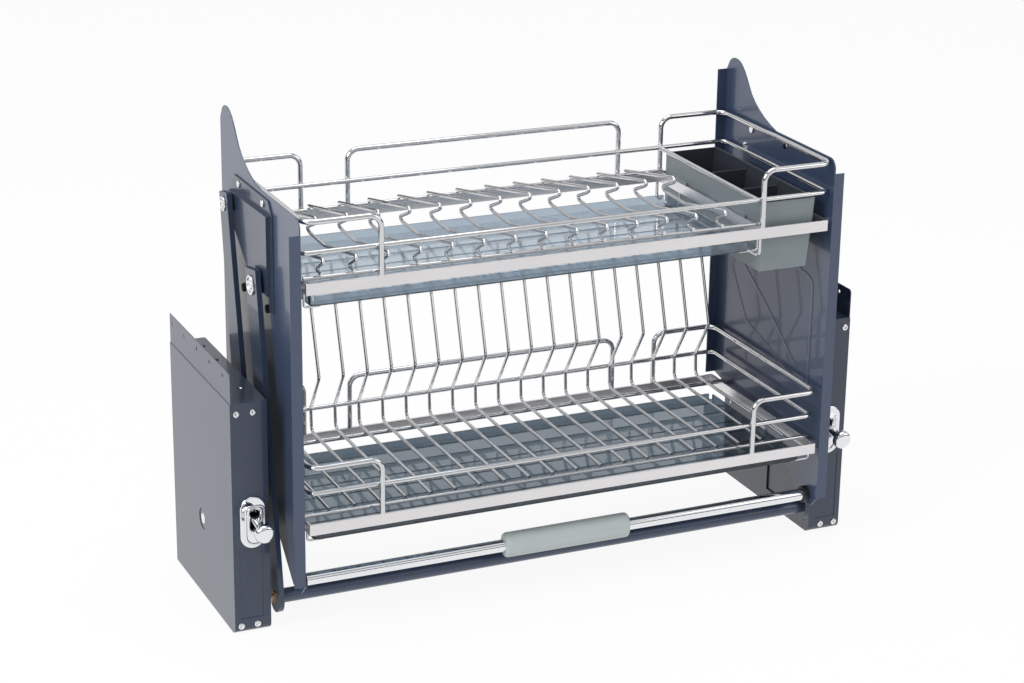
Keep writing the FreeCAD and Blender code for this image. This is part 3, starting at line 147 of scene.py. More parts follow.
@dataclass(frozen=True)
class Finish:
    """A surface finish: colour, gloss, and a grain at a real size.

    Attributes:
        colour: Its sRGB colour, as hex.
        shade: The colour that it drifts to from place to place.
        roughness: Its roughness where it is glossiest.
        grain_mm: Size of the grain.
        grain_depth: Depth of the grain in millimetres, 0 for none.
        stretch: Scale of the grain along x, y and z.
        mottle_mm: Size of the drift from colour to shade.
        rough_spread: How much rougher it gets from place to place.
    """

    name: str
    colour: str
    shade: str
    roughness: float
    metallic: float = 0.0
    grain_mm: float = 1.0
    grain_depth: float = 0.0
    stretch: Point = (1.0, 1.0, 1.0)
    mottle_mm: float = 60.0
    coat: float = 0.0
    transmission: float = 0.0
    ior: float = 1.5
    rough_spread: float = 0.06

    def build(self) -> bpy.types.Material:
        """Make the material.

        Returns:
            The node material.
        """
        made = bpy.data.materials.new(self.name)
        tree = fresh_tree(made)
        out = node(tree, "ShaderNodeOutputMaterial")
        place = node(tree, "ShaderNodeTexCoord").outputs["Object"]
        broad = node(tree, "ShaderNodeTexNoise",
                     {"Scale": 1.0 / (self.mottle_mm * MM), "Detail": 3.0}, {"Vector": place})
        tint = node(tree, "ShaderNodeMix", {"data_type": "RGBA"}, {0: broad.outputs["Fac"]})
        tint.inputs[6].default_value = linear(self.shade)
        tint.inputs[7].default_value = linear(self.colour)
        turned = node(tree, "ShaderNodeMapping", {"Scale": self.stretch}, {"Vector": place})
        fine = node(tree, "ShaderNodeTexNoise",
                    {"Scale": 1.0 / (self.grain_mm * MM), "Detail": 2.0},
                    {"Vector": turned.outputs["Vector"]})
        low, high = GLOSS_BAND
        rough = node(tree, "ShaderNodeMapRange",
                     {"From Min": low, "From Max": high, "To Min": self.roughness,
                      "To Max": self.roughness + self.rough_spread}, {"Value": fine.outputs["Fac"]})
        shader = node(tree, "ShaderNodeBsdfPrincipled",
                      {"Metallic": self.metallic, "Coat Weight": self.coat,
                       "Transmission Weight": self.transmission, "IOR": self.ior},
                      {"Base Color": tint.outputs[2], "Roughness": rough.outputs["Result"]})
        if self.grain_depth > 0:
            bump = node(tree, "ShaderNodeBump",
                        {"Strength": GRAIN_STRENGTH, "Distance": self.grain_depth * MM},
                        {"Height": fine.outputs["Fac"]})
            tree.links.new(bump.outputs["Normal"], shader.inputs["Normal"])
        tree.links.new(shader.outputs["BSDF"], out.inputs["Surface"])
        return made


class Coating(Enum):
    """The finishes of the rack's pieces."""

    # Powder-coated steel: a fine orange peel that breaks up soft, broad highlights
    HOUSING = Finish("powder_coated_steel_dark", "#2B384D", "#283448", 0.3, grain_mm=1.2,
                     grain_depth=0.04, coat=0.4)
    # The same coating a little lighter, as the basket's thin sheet has it
    PANEL = Finish("powder_coated_steel", "#394660", "#35425A", 0.29, grain_mm=1.2,
                   grain_depth=0.04, coat=0.4)
    # Painted shade: a dark disc stands for the shaded inside of each hole in a housing's top
    RECESS = Finish("powder_coat_in_shadow", "#14181F", "#11141A", 0.6, grain_mm=1.2)
    # Nickel-chrome plate: mirror reflections that are a little soft
    CHROME = Finish("chrome_plate", "#E9EAEC", "#E0E2E5", 0.05, metallic=1.0, grain_mm=8.0,
                    rough_spread=0.03)
    # Drawn and polished stainless wire: bright and dark lines along each rod
    WIRE = Finish("polished_stainless_wire", "#D7D7D8", "#CCCCCE", 0.05, metallic=1.0,
                  grain_mm=4.0, rough_spread=0.05)
    # Rolled satin stainless bar: a pale, even band with faint lines
    BAR = Finish("satin_stainless_bar", "#E6E3E4", "#DBD9DB", 0.26, metallic=1.0,
                 grain_mm=0.9, stretch=(0.03, 0.03, 1.0), grain_depth=0.01, rough_spread=0.14)
    # Turned steel: grey and half dull, for what hides in the housings
    STEEL = Finish("turned_steel", "#A9ABAE", "#9A9DA1", 0.3, metallic=1.0, grain_mm=1.0,
                   grain_depth=0.02)
    # Polycarbonate: clear and glossy, a little blue where light crosses much of it
    CLEAR = Finish("clear_polycarbonate", "#B6C3CF", "#AAB9C6", 0.04, grain_mm=20.0,
                   transmission=0.92, ior=1.5, rough_spread=0.03)
    # The same clear plastic tinted darker: painted reflection of the dark panels that the lower
    # tray shows
    SMOKE = Finish("smoke_polycarbonate", "#6A7884", "#5F6C78", 0.04, grain_mm=20.0,
                   transmission=0.9, ior=1.5, rough_spread=0.03)
    # Moulded ABS: a fine spark-eroded grain that dulls its highlights
    CUTLERY = Finish("moulded_abs_grey", "#7F888C", "#788185", 0.42, grain_mm=0.8,
                     grain_depth=0.04)
    # The box's inner faces: the same grain, darkened to nearly black as painted shade
    CUTLERY_IN = Finish("moulded_abs_dark_inside", "#2E343C", "#282D35", 0.5, grain_mm=0.8,
                        grain_depth=0.04)
    # The handle's grip: silver-grey ABS with a soft sheen
    GRIP = Finish("moulded_abs_silver", "#B9C1BF", "#AFB7B5", 0.36, grain_mm=0.8,
                  grain_depth=0.03)
    # Black nylon of bushes and spacers: dull, with a fine grain
    DARK = Finish("moulded_nylon_black", "#202226", "#1B1D20", 0.45, grain_mm=0.8,
                  grain_depth=0.04)
    # Black rubber of the bumpers: the dullest black, with hardly a highlight
    RUBBER = Finish("moulded_rubber_black", "#18191A", "#141516", 0.62, grain_mm=0.7,
                    grain_depth=0.06)
    # Turned brass: a warm ring in the arms' joints
    BRASS = Finish("turned_brass", "#C79C4A", "#B98E40", 0.22, metallic=1.0, grain_mm=1.0,
                   grain_depth=0.02)
    # White nylon of the plugs in the housings' sides
    WHITE = Finish("moulded_nylon_white", "#E2E2DE", "#D9D9D5", 0.4, grain_mm=1.0,
                   grain_depth=0.03)
    # Woven polyester: black, deep-grained and dull
    STRAP = Finish("woven_polyester", "#1D1E21", "#141518", 0.8, grain_mm=0.6, grain_depth=0.2)


BUILT: dict[Coating, bpy.types.Material] = {}


def material(coating: Coating) -> bpy.types.Material:
    """Return the one material of a coating, made when first asked for."""
    if coating not in BUILT:
        BUILT[coating] = coating.value.build()
    return BUILT[coating]


def coat(piece: Piece, coating: Coating) -> None:
    """Put a coating on every face of a piece."""
    piece.data.materials.clear()
    piece.data.materials.append(material(coating))


def choose(piece: Piece) -> None:
    """Make a piece the only one chosen and active."""
    bpy.ops.object.select_all(action="DESELECT")
    piece.select_set(True)
    bpy.context.view_layer.objects.active = piece


def open_all(piece: Piece) -> None:
    """Open a piece in edit mode with all of it chosen."""
    choose(piece)
    bpy.ops.object.mode_set(mode="EDIT")
    bpy.ops.mesh.select_all(action="SELECT")


def smooth(piece: Piece, angle: float = 40.0) -> None:
    """Smooth the shading, with the flat faces kept flat.

    Args:
        piece: The piece.
        angle: Edges sharper than this many degrees stay sharp.
    """
    choose(piece)
    bpy.ops.object.shade_smooth_by_angle(angle=math.radians(angle))
    weighted = piece.modifiers.new("flat_faces", "WEIGHTED_NORMAL")
    weighted.keep_sharp = True
    bpy.ops.object.modifier_apply(modifier=weighted.name)


def soften(piece: Piece, edge_mm: float, segments: int = 2,
           angle: float = 30.0) -> None:
    """Round a piece's edges with a bevel and smooth its shading.

    Args:
        piece: The piece.
        edge_mm: The width of the bevel.
        segments: Steps across the bevel.
        angle: Edges sharper than this many degrees are rounded.
    """
    choose(piece)
    bevel = piece.modifiers.new("edge", "BEVEL")
    bevel.width = edge_mm * MM
    bevel.segments = segments
    bevel.limit_method = "ANGLE"
    bevel.angle_limit = math.radians(angle)
    bevel.use_clamp_overlap = True
    bpy.ops.object.modifier_apply(modifier=bevel.name)
    smooth(piece)


def extrude(move: Vector) -> None:
    """Extrude the chosen faces by a move in metres."""
    bpy.ops.mesh.extrude_region_move(TRANSFORM_OT_translate={"value": move})


def disc(place: Vector, ahead: Vector, wide_mm: float, sides: int) -> Piece:
    """Add a round face square to a direction and open it in edit mode.

    Args:
        place: The middle of the face.
        ahead: The direction it faces.
        wide_mm: Its diameter.
        sides: Number of sides.

    Returns:
        The piece, in edit mode with its face chosen.
    """
    bpy.ops.object.select_all(action="DESELECT")
    bpy.ops.mesh.primitive_circle_add(
        vertices=sides, radius=wide_mm / 2 * MM, fill_type="NGON", location=place,
        rotation=ahead.to_track_quat("Z", "Y").to_euler())
    piece = bpy.context.active_object
    bpy.ops.object.transform_apply(location=True, rotation=True, scale=True)
    bpy.ops.object.mode_set(mode="EDIT")
    bpy.ops.mesh.select_all(action="SELECT")
    return piece


def close(piece: Piece, name: str) -> Piece:
    """Turn a shaped piece's normals outwards, leave edit mode and name it.

    Args:
        piece: The piece, in edit mode.
        name: Its name.

    Returns:
        The piece.
    """
    bpy.ops.mesh.select_all(action="SELECT")
    bpy.ops.mesh.normals_make_consistent(inside=False)
    bpy.ops.object.mode_set(mode="OBJECT")
    piece.name = name
    piece.data.name = name
    return piece


def bent_wire(name: str, corners: Sequence[Point], wide: float, bend: float,
              sides: int = 16, steps: int = 6) -> Piece:
    """Lead a round section along straight runs and spin it through the bends.

    Args:
        name: The piece's name.
        corners: The places where the wire's runs would meet, in millimetres.
        wide: The wire's diameter.
        bend: The radius of its middle line at each bend.
        sides: Sides of the section.
        steps: Steps through each bend.

    Returns:
        The wire.
    """
    places = [at(*corner) for corner in corners]
    piece = disc(places[0], (places[1] - places[0]).normalized(), wide, sides)
    here = places[0]
    for index in range(1, len(places) - 1):
        corner = places[index]
        before = (corner - places[index - 1]).normalized()
        after = (places[index + 1] - corner).normalized()
        angle = before.angle(after)
        room = 0.49 * min((corner - places[index - 1]).length, (places[index + 1] - corner).length)
        reach = min(bend * MM * math.tan(angle / 2), room)
        radius = reach / math.tan(angle / 2)
        start = corner - before * reach
        extrude(start - here)
        inward = (after - before * before.dot(after)).normalized()
        bpy.ops.mesh.spin(steps=steps, angle=-angle, center=start + inward * radius,
                          axis=before.cross(after).normalized())
        here = corner + after * reach
    extrude(places[-1] - here)
    close(piece, name)
    smooth(piece)
    return piece


def turned(name: str, place: Point, ahead: Point, profile: Profile,
           sides: int = 40) -> Piece:
    """Build a round piece ring by ring along its axis.

    Args:
        name: The piece's name.
        place: Where its axis starts, in millimetres.
        ahead: The direction of its axis.
        profile: Pairs of distance along the axis and diameter, in millimetres.
        sides: Sides of the round.

    Returns:
        The piece.
    """
    start = at(*place)
    way = Vector(ahead).normalized()
    spot = start + way * profile[0][0] * MM
    piece = disc(spot, way, profile[0][1], sides)
    wide = profile[0][1]
    for reach, across in profile[1:]:
        target = start + way * reach * MM
        extrude(target - spot)
        share = across / wide
        bpy.ops.transform.resize(value=(share, share, share), center_override=target)
        spot = target
        wide = across
    close(piece, name)
    smooth(piece, 35.0)
    return piece


def block(middle: Vector, size_mm: Point) -> Piece:
    """Add a box at its place and size.

    Args:
        middle: Its middle.
        size_mm: Its lengths along x, y and z.

    Returns:
        The box.
    """
    bpy.ops.object.select_all(action="DESELECT")
    scale = tuple(length * MM for length in size_mm)
    bpy.ops.mesh.primitive_cube_add(size=1.0, location=middle, scale=scale)
    bpy.ops.object.transform_apply(location=True, rotation=True, scale=True)
    return bpy.context.active_object


def copied(piece: Piece, name: str, move: Vector) -> Piece:
    """Copy a piece with its own mesh and shift the mesh.

    Args:
        piece: The piece.
        name: The copy's name.
        move: The shift in metres.

    Returns:
        The copy.
    """
    twin = piece.copy()
    twin.data = piece.data.copy()
    twin.name = name
    twin.data.name = name
    bpy.context.scene.collection.objects.link(twin)
    twin.data.transform(Matrix.Translation(move))
    return twin


def joined(pieces: Sequence[Piece], name: str) -> Piece:
    """Join pieces to one object.

    Args:
        pieces: The pieces.
        name: The object's name.

    Returns:
        The object.
    """
    choose(pieces[0])
    for piece in pieces[1:]:
        piece.select_set(True)
    bpy.ops.object.join()
    pieces[0].name = name
    pieces[0].data.name = name
    return pieces[0]


@dataclass
class Workshop:
    """Knows the CAD pieces, and seats new pieces among them.

    Attributes:
        nodes: The CAD pieces by name.
        record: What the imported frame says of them.
        merge_mm: Corners nearer than this are one corner.
        flat_angle: Degrees under which two faces count as one flat face.
    """

    nodes: dict[str, Piece]
    record: dict
    merge_mm: float = 0.004
    flat_angle: float = 0.6

    def body_of(self, name: str) -> str:
        """Return the body that a CAD piece moves with."""
        for body, names in self.record["behaviour"]["bodies"].items():
            if name in names:
                return body
        raise KeyError(name)

    def seat(self, piece: Piece, coating: Coating | None, *names: str,
             extra: bool = False) -> Piece:
        """Coat a piece and let it ride in place of, or beside, CAD pieces.

        Args:
            piece: The new piece.
            coating: Its coating, or None where its faces already have theirs.
            names: The CAD pieces that it stands for, or is fixed to.
            extra: Whether the CAD pieces stay visible beside it.

        Returns:
            The piece.
        """
        if coating is not None:
            coat(piece, coating)
        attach(piece, self.body_of(names[0]))
        if not extra:
            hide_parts(*names)
        LOG.info("seated %s", piece.name)
        return piece

    def refined(self, name: str, edge_mm: float, segments: int = 2) -> Piece:
        """Copy a CAD piece, merge its mesh, and round its edges.

        Args:
            name: The CAD piece.
            edge_mm: The width of the rounding, 0 for none.
            segments: Steps across the rounding.

        Returns:
            The copy.
        """
        source = self.nodes[name]
        piece = bpy.data.objects.new("dressed_" + name, source.data.copy())
        bpy.context.scene.collection.objects.link(piece)
        open_all(piece)
        bpy.ops.mesh.remove_doubles(threshold=self.merge_mm * MM)
        bpy.ops.mesh.dissolve_limited(angle_limit=math.radians(self.flat_angle))
        close(piece, "dressed_" + name)
        if edge_mm > 0:
            soften(piece, edge_mm, segments)
        else:
            smooth(piece)
        return piece

    def dress(self, name: str, coating: Coating, edge_mm: float,
              segments: int = 2) -> Piece:
        """Seat a refined copy in place of a CAD piece."""
        return self.seat(self.refined(name, edge_mm, segments), coating, name)


@dataclass
class PanScrew:
    """A pan-head screw with a cross recess, driven along +Y."""

    head: float = 8.5
    head_thick: float = 2.0
    shank: float = 3.0
    shank_long: float = 5.0
    cross_long: float = 4.6
    cross_wide: float = 1.1
    cross_deep: float = 1.2

    def build(self, name: str, place: Point) -> Piece:
        """Turn the screw and cut the cross in its head.

        Args:
            name: The piece's name.
            place: The middle of the face that the head sits on.

        Returns:
            The screw.
        """
        # Along the axis in shares of the head's thickness, across in shares of its width
        screw = turned(name, place, (0, -1, 0), (
            (-self.shank_long, self.shank * 0.6), (-self.shank_long + 1.0, self.shank),
            (0.0, self.shank), (0.0, self.head), (self.head_thick * 0.45, self.head),
            (self.head_thick * 0.75, self.head * 0.92), (self.head_thick * 0.93, self.head * 0.74),
            (self.head_thick, self.head * 0.5)), sides=32)
        x, y, z = place
        for long_side, tall_side in ((self.cross_long, self.cross_wide),
                                     (self.cross_wide, self.cross_long)):
            cutter = block(at(x, y - self.head_thick, z),
                           (long_side, 2 * self.cross_deep, tall_side))
            choose(screw)
            recess = screw.modifiers.new("cross", "BOOLEAN")
            recess.operation = "DIFFERENCE"
            recess.solver = "EXACT"
            recess.object = cutter
            bpy.ops.object.modifier_apply(modifier=recess.name)
            bpy.data.objects.remove(cutter)
        smooth(screw, 35.0)
        return screw


@dataclass(frozen=True)
class Collar:
    """A raised ring round a force lever's slot.

    Attributes:
        across: Half its width, to the middle of the rim.
        tall: Half its height, to the middle of the rim.
        rim: Thickness of the rim.
        height: Height of its middle in the housing.
    """

    across: float
    tall: float
    rim: float
    height: float


@dataclass
class Housings:
    """The two wall housings with their screws, escutcheons and levers."""

    shop: Workshop
    outer_x: float = 432.0
    wide: float = 47.0
    high: float = 305.0
    screw_insets: tuple[float, float] = (8.0, 29.0)
    screw_heights: tuple[float, float] = (292.0, 11.0)
    lever_x: float = 404.5
    lever_y: float = 35.0
    lever_z: float = 158.5
    lever_droop: float = 7.3
    lever_hub: float = 14.0
    lever_shaft: float = 11.0
    knob_reach: float = 72.0
    knob_wide: float = 25.0
    knob_thick: float = 10.0
    shield_reach: float = 25.5
    shield_wide: float = 30.0
    plaque_y: float = -3.5
    collars: Sequence[Collar] = (
        Collar(11.8, 25.0, 3.2, 145.2), Collar(8.4, 15.9, 4.6, 152.0))
    collar_flat: float = 0.4
    vent_y: float = 105.0
    vent_z: float = 43.0
    vent_size: tuple[float, float] = (28.0, 50.0)
    liner_set: float = 3.0
    liner_thick: float = 1.6
    top_screw_x: float = 401.0
    top_screw_y: tuple[float, float, float] = (50.0, 158.0, 213.0)
    top_holes: tuple[float, float, float] = (9.5, 13.0, 13.0)
    hole_sunk: float = 0.4
    top_screw: float = 5.6
    top_screw_sunk: float = 0.3
    flange_set: float = 0.9
    flange_step: float = 0.9
    face_band: float = 0.1

    def screws(self) -> None:
        """Drive four cross-recess screws in the front of each housing."""
        first = PanScrew().build("housing_screw", (0.0, 0.0, 0.0))
        for side in Side:
            for column, inset in enumerate(self.screw_insets):
                for row, height in enumerate(self.screw_heights):
                    x = side.value * (self.outer_x - inset)
                    screw = copied(first, f"housing_screw_{side.word}_{column}_{row}",
                                   Vector((x * MM, 0.0, height * MM)))
                    self.shop.seat(screw, Coating.CHROME, "housing_screws")
        bpy.data.objects.remove(first)

    def lever(self, side: Side) -> None:
        """Turn the force lever: barrel, shaft and mushroom knob.

        Args:
            side: The user's left or right.
        """
        droop = math.radians(self.lever_droop)
        ahead = (0.0, -math.cos(droop), -math.sin(droop))
        x = side.value * self.lever_x
        wide, reach, thick = self.knob_wide, self.knob_reach, self.knob_thick
        stem = turned(f"lever_stem_{side.word}", (x, self.lever_y, self.lever_z), ahead, (
            (self.lever_hub / 2 - 1.0, self.lever_shaft), (self.shield_reach, self.lever_shaft),
            (self.shield_reach, self.shield_wide), (self.shield_reach + 1.2, self.shield_wide),
            (self.shield_reach + 1.2, self.lever_shaft), (reach - 7.0, self.lever_shaft),
            (reach - 3.5, self.lever_shaft + 1.4), (reach - 1.4, self.lever_shaft + 4.6),
            (reach - 0.4, wide * 0.78), (reach, wide * 0.92), (reach + thick * 0.14, wide),
            (reach + thick * 0.5, wide), (reach + thick * 0.74, wide * 0.93),
            (reach + thick * 0.9, wide * 0.8), (reach + thick * 0.98, wide * 0.55),
            (reach + thick, wide * 0.2)), sides=48)
        half = self.lever_hub / 2
        hub_start = (x - half, self.lever_y, self.lever_z)
        barrel = turned(f"lever_barrel_{side.word}", hub_start, (1, 0, 0), (
            (0.0, self.lever_hub - 1.0), (0.5, self.lever_hub), (2 * half - 0.5, self.lever_hub),
            (2 * half, self.lever_hub - 1.0)))
        whole = joined([stem, barrel], f"force_lever_turned_{side.word}")
        self.shop.seat(whole, Coating.CHROME, f"force_lever_{side.word}")

    def collar(self, side: Side) -> None:
        """Raise a stepped collar round the lever's slot on the escutcheon.

        Args:
            side: The user's left or right.
        """
        x, y = side.value * self.lever_x, self.plaque_y
        for index, step in enumerate(self.collars):
            left, right = x - step.across, x + step.across
            low, high = step.height - step.tall, step.height + step.tall
            ring = bent_wire(f"escutcheon_collar_{side.word}_{index}", [
                (x, y, high), (left, y, high), (left, y, low), (right, y, low),
                (right, y, high), (x, y, high)],
                step.rim, step.across - self.collar_flat, sides=16, steps=10)
            self.shop.seat(ring, Coating.CHROME, "escutcheons", extra=True)

    def vent_liner(self, side: Side) -> None:
        """Close the opening in a housing's inner cover with a sunk liner.

        Args:
            side: The user's left or right.
        """
        x = side.value * (self.outer_x - self.wide + self.liner_set)
        liner = block(at(x, self.vent_y, self.vent_z), (self.liner_thick, *self.vent_size))
        liner.name = f"vent_liner_{side.word}"
        soften(liner, 0.3)
        self.shop.seat(liner, Coating.HOUSING, f"housing_cover_{side.word}", extra=True)

    def plate(self, side: Side) -> None:
        """Dress a mounting plate, with its flange set back above the housing.

        Args:
            side: The user's left or right.
        """
        name = f"mounting_plate_{side.word}"
        piece = self.shop.refined(name, 0.0)
        open_all(piece)
        for height in (self.high - self.flange_step, self.high):
            bpy.ops.mesh.select_all(action="SELECT")
            bpy.ops.mesh.bisect(plane_co=at(0.0, 0.0, height), plane_no=(0, 0, 1))
        bpy.ops.mesh.select_all(action="DESELECT")
        bpy.ops.object.mode_set(mode="OBJECT")
        face_x = (self.outer_x - self.face_band) * MM
        step_z = (self.high - self.flange_step / 2) * MM
        for face in piece.data.polygons:
            face.select = False
        for edge in piece.data.edges:
            edge.select = False
        for corner in piece.data.vertices:
            corner.select = corner.co.x * side.value > face_x and corner.co.z > step_z
        bpy.ops.object.mode_set(mode="EDIT")
        bpy.ops.transform.translate(value=(-side.value * self.flange_set * MM, 0, 0))
        bpy.ops.object.mode_set(mode="OBJECT")
        soften(piece, 0.25, 2, 20.0)
        self.shop.seat(piece, Coating.HOUSING, name)

    def top_screws(self, side: Side) -> None:
        """Set the three sunk screws in the top of a housing, each on a dark disc of painted shade
        that stands for its hole.

        Args:
            side: The user's left or right.
        """
        x = side.value * self.top_screw_x
        under_hole = self.high - self.hole_sunk
        under_head = self.high - self.top_screw_sunk
        head = self.top_screw
        for index, (depth, wide) in enumerate(zip(self.top_screw_y, self.top_holes)):
            end = f"{side.word}_{index}"
            # Each hole is a dark disc of painted shade on the top face, under its screw
            hole = turned(f"top_hole_{end}", (x, depth, under_hole), (0, 0, 1), (
                (0.0, wide), (0.46, wide), (0.5, wide - 0.5)))
            self.shop.seat(hole, Coating.RECESS, f"housing_shell_{side.word}", extra=True)
            screw = turned(f"top_screw_{end}", (x, depth, under_head), (0, 0, 1), (
                (0.0, head), (0.7, head), (1.3, head * 0.82), (1.6, head * 0.5), (1.7, 1.2)))
            self.shop.seat(screw, Coating.CHROME, "housing_screws", extra=True)

    def build(self) -> None:
        """Dress both housings."""
        for side in Side:
            self.plate(side)
            self.shop.dress(f"housing_shell_{side.word}", Coating.HOUSING, 0.8, 3)
            self.shop.dress(f"housing_cover_{side.word}", Coating.HOUSING, 0.6)
            self.lever(side)
            self.collar(side)
            self.top_screws(side)
            self.vent_liner(side)
        self.shop.dress("housing_plugs", Coating.WHITE, 0.2)
        self.shop.dress("escutcheons", Coating.CHROME, 0.3)
        self.screws()


@dataclass
class Arms:
    """The parallel swing arms with their bushes, bolts and caps."""

    shop: Workshop
    upper_front: tuple[float, float] = (71.99, 427.93)
    upper_rear: tuple[float, float] = (173.49, 502.93)
    front_round: float = 20.0
    rear_round: float = 15.0
    front_cap: float = 25.0
    rear_cap: float = 19.0
    cap_from: float = 378.4
    cap_thick: float = 1.8
    lean: float = 9.47
    rim_band: float = 0.5
    bolt_from: float = 358.5
    bolt_wide: float = 8.0
    bolt_head: float = 13.0

    def cap(self, name: str, side: Side, place: tuple[float, float], wide: float) -> None:
        """Turn a pivot bolt with a ringed cap.

        Args:
            name: The piece's name.
            side: The user's left or right.
            place: Depth and height of the pivot.
            wide: The cap's diameter.
        """
        under = self.cap_from - self.bolt_from
        top = under + self.cap_thick
        start = (side.value * self.bolt_from, *place)
        bolt = turned(name, start, (side.value, 0, 0), (
            (0.0, self.bolt_head), (0.5, self.bolt_head), (0.5, self.bolt_wide),
            (under, self.bolt_wide), (under, wide), (top - 0.6, wide), (top - 0.2, wide - 0.4),
            (top, wide - 1.2), (top, wide * 0.76), (top - 1.3, wide * 0.7),
            (top - 1.3, wide * 0.46), (top - 0.3, wide * 0.42), (top - 0.1, wide * 0.36),
            (top - 0.1, wide * 0.2), (top - 1.2, wide * 0.16), (top - 1.2, wide * 0.05)),
            sides=56)
        self.shop.seat(bolt, Coating.CHROME, "pivot_bolts")

    def squared(self, name: str, pivot: tuple[float, float], radius: float) -> None:
        """Dress an arm and draw its round upper end out to square corners.

        Args:
            name: The arm.
            pivot: Depth and height of its upper pivot.
            radius: The round end's radius.
        """
        piece = self.shop.refined(name, 0.0)
        lean = math.radians(self.lean)
        middle = at(0.0, *pivot)
        for corner in piece.data.vertices:
            out = corner.co - middle
            across = out.y * math.cos(lean) - out.z * math.sin(lean)
            along = out.y * math.sin(lean) + out.z * math.cos(lean)
            reach = math.hypot(across, along)
            if along > self.rim_band * MM and abs(reach - radius * MM) < self.rim_band * MM:
                grow = radius * MM / max(abs(across), along)
                corner.co.y = middle.y + out.y * grow
                corner.co.z = middle.z + out.z * grow
        soften(piece, 0.7, 3)
        self.shop.seat(piece, Coating.HOUSING, name)

    def build(self) -> None:
        """Dress the arms and turn their bolts."""
        for side in Side:
            self.squared(f"front_arm_{side.word}", self.upper_front, self.front_round)
            self.squared(f"rear_arm_{side.word}", self.upper_rear, self.rear_round)
            self.cap(f"front_pivot_cap_{side.word}", side, self.upper_front, self.front_cap)
            self.cap(f"rear_pivot_cap_{side.word}", side, self.upper_rear, self.rear_cap)
        self.shop.dress("arm_bushes", Coating.BRASS, 0.2)
        self.shop.dress("sync_tube", Coating.PANEL, 0.3)
        self.shop.dress("pivot_spacers", Coating.DARK, 0.4)


@dataclass
class Panels:
    """The basket's side panels with brackets, bumpers, screws and handle."""

    shop: Workshop
    panel_x: float = 359.0
    bead_wide: float = 7.0
    bead_bend: float = 14.0
    bead_flat: float = 0.2
    bead_sunk: float = 0.1
    outline: Profile = (
        (-20.0, 215.0), (150.0, 262.0), (196.0, 330.0), (150.0, 398.0), (-20.0, 372.0),
        (-20.0, 215.0))
    brace: Profile = ((10.0, 240.0), (95.0, 300.0), (170.0, 345.0))

    def bead(self, name: str, side: Side, points: Profile) -> None:
        """Press a stiffening bead in a panel's inner face.

        Args:
            name: The piece's name.
            side: The user's left or right.
            points: Depths and heights of its corners.
        """
        x = side.value * (self.panel_x + self.bead_sunk)
        bead = bent_wire(name, [(x, y, z) for y, z in points], self.bead_wide, self.bead_bend)
        open_all(bead)
        bpy.ops.transform.resize(value=(self.bead_flat, 1, 1), center_override=at(x, 0.0, 0.0))
        bpy.ops.object.mode_set(mode="OBJECT")
        self.shop.seat(bead, Coating.PANEL, f"side_panel_{side.word}", extra=True)

    def build(self) -> None:
        """Dress the panels and what is fixed to them."""
        for side in Side:
            self.shop.dress(f"side_panel_{side.word}", Coating.PANEL, 0.35)
            self.shop.dress(f"arm_bracket_{side.word}", Coating.HOUSING, 0.9, 3)
            self.bead(f"panel_bead_outline_{side.word}", side, self.outline)
            self.bead(f"panel_bead_brace_{side.word}", side, self.brace)
        self.shop.dress("rubber_bumpers", Coating.RUBBER, 0.8, 3)
        self.shop.dress("basket_fixings", Coating.CHROME, 0.5, 3)
        self.shop.dress("handle_bushes", Coating.DARK, 0.6)
        self.shop.dress("handle_bar", Coating.CHROME, 0.2)
        self.shop.dress("handle_grip", Coating.GRIP, 0.6, 3)


@dataclass(frozen=True)
class Shelf:
    """Where the rods of one shelf run.

    Attributes:
        word: The shelf's name.
        guard_side: Where the side guards run, from the middle.
        guard_top: Height of the guards.
        bar_top: Height of the flat bars' top edge, where the guards end.
        ring_side: Where the ring's sides run.
        ring_height: Height of the ring.
    """

    word: str
    guard_side: float
    guard_top: float
    bar_top: float
    ring_side: float
    ring_height: float


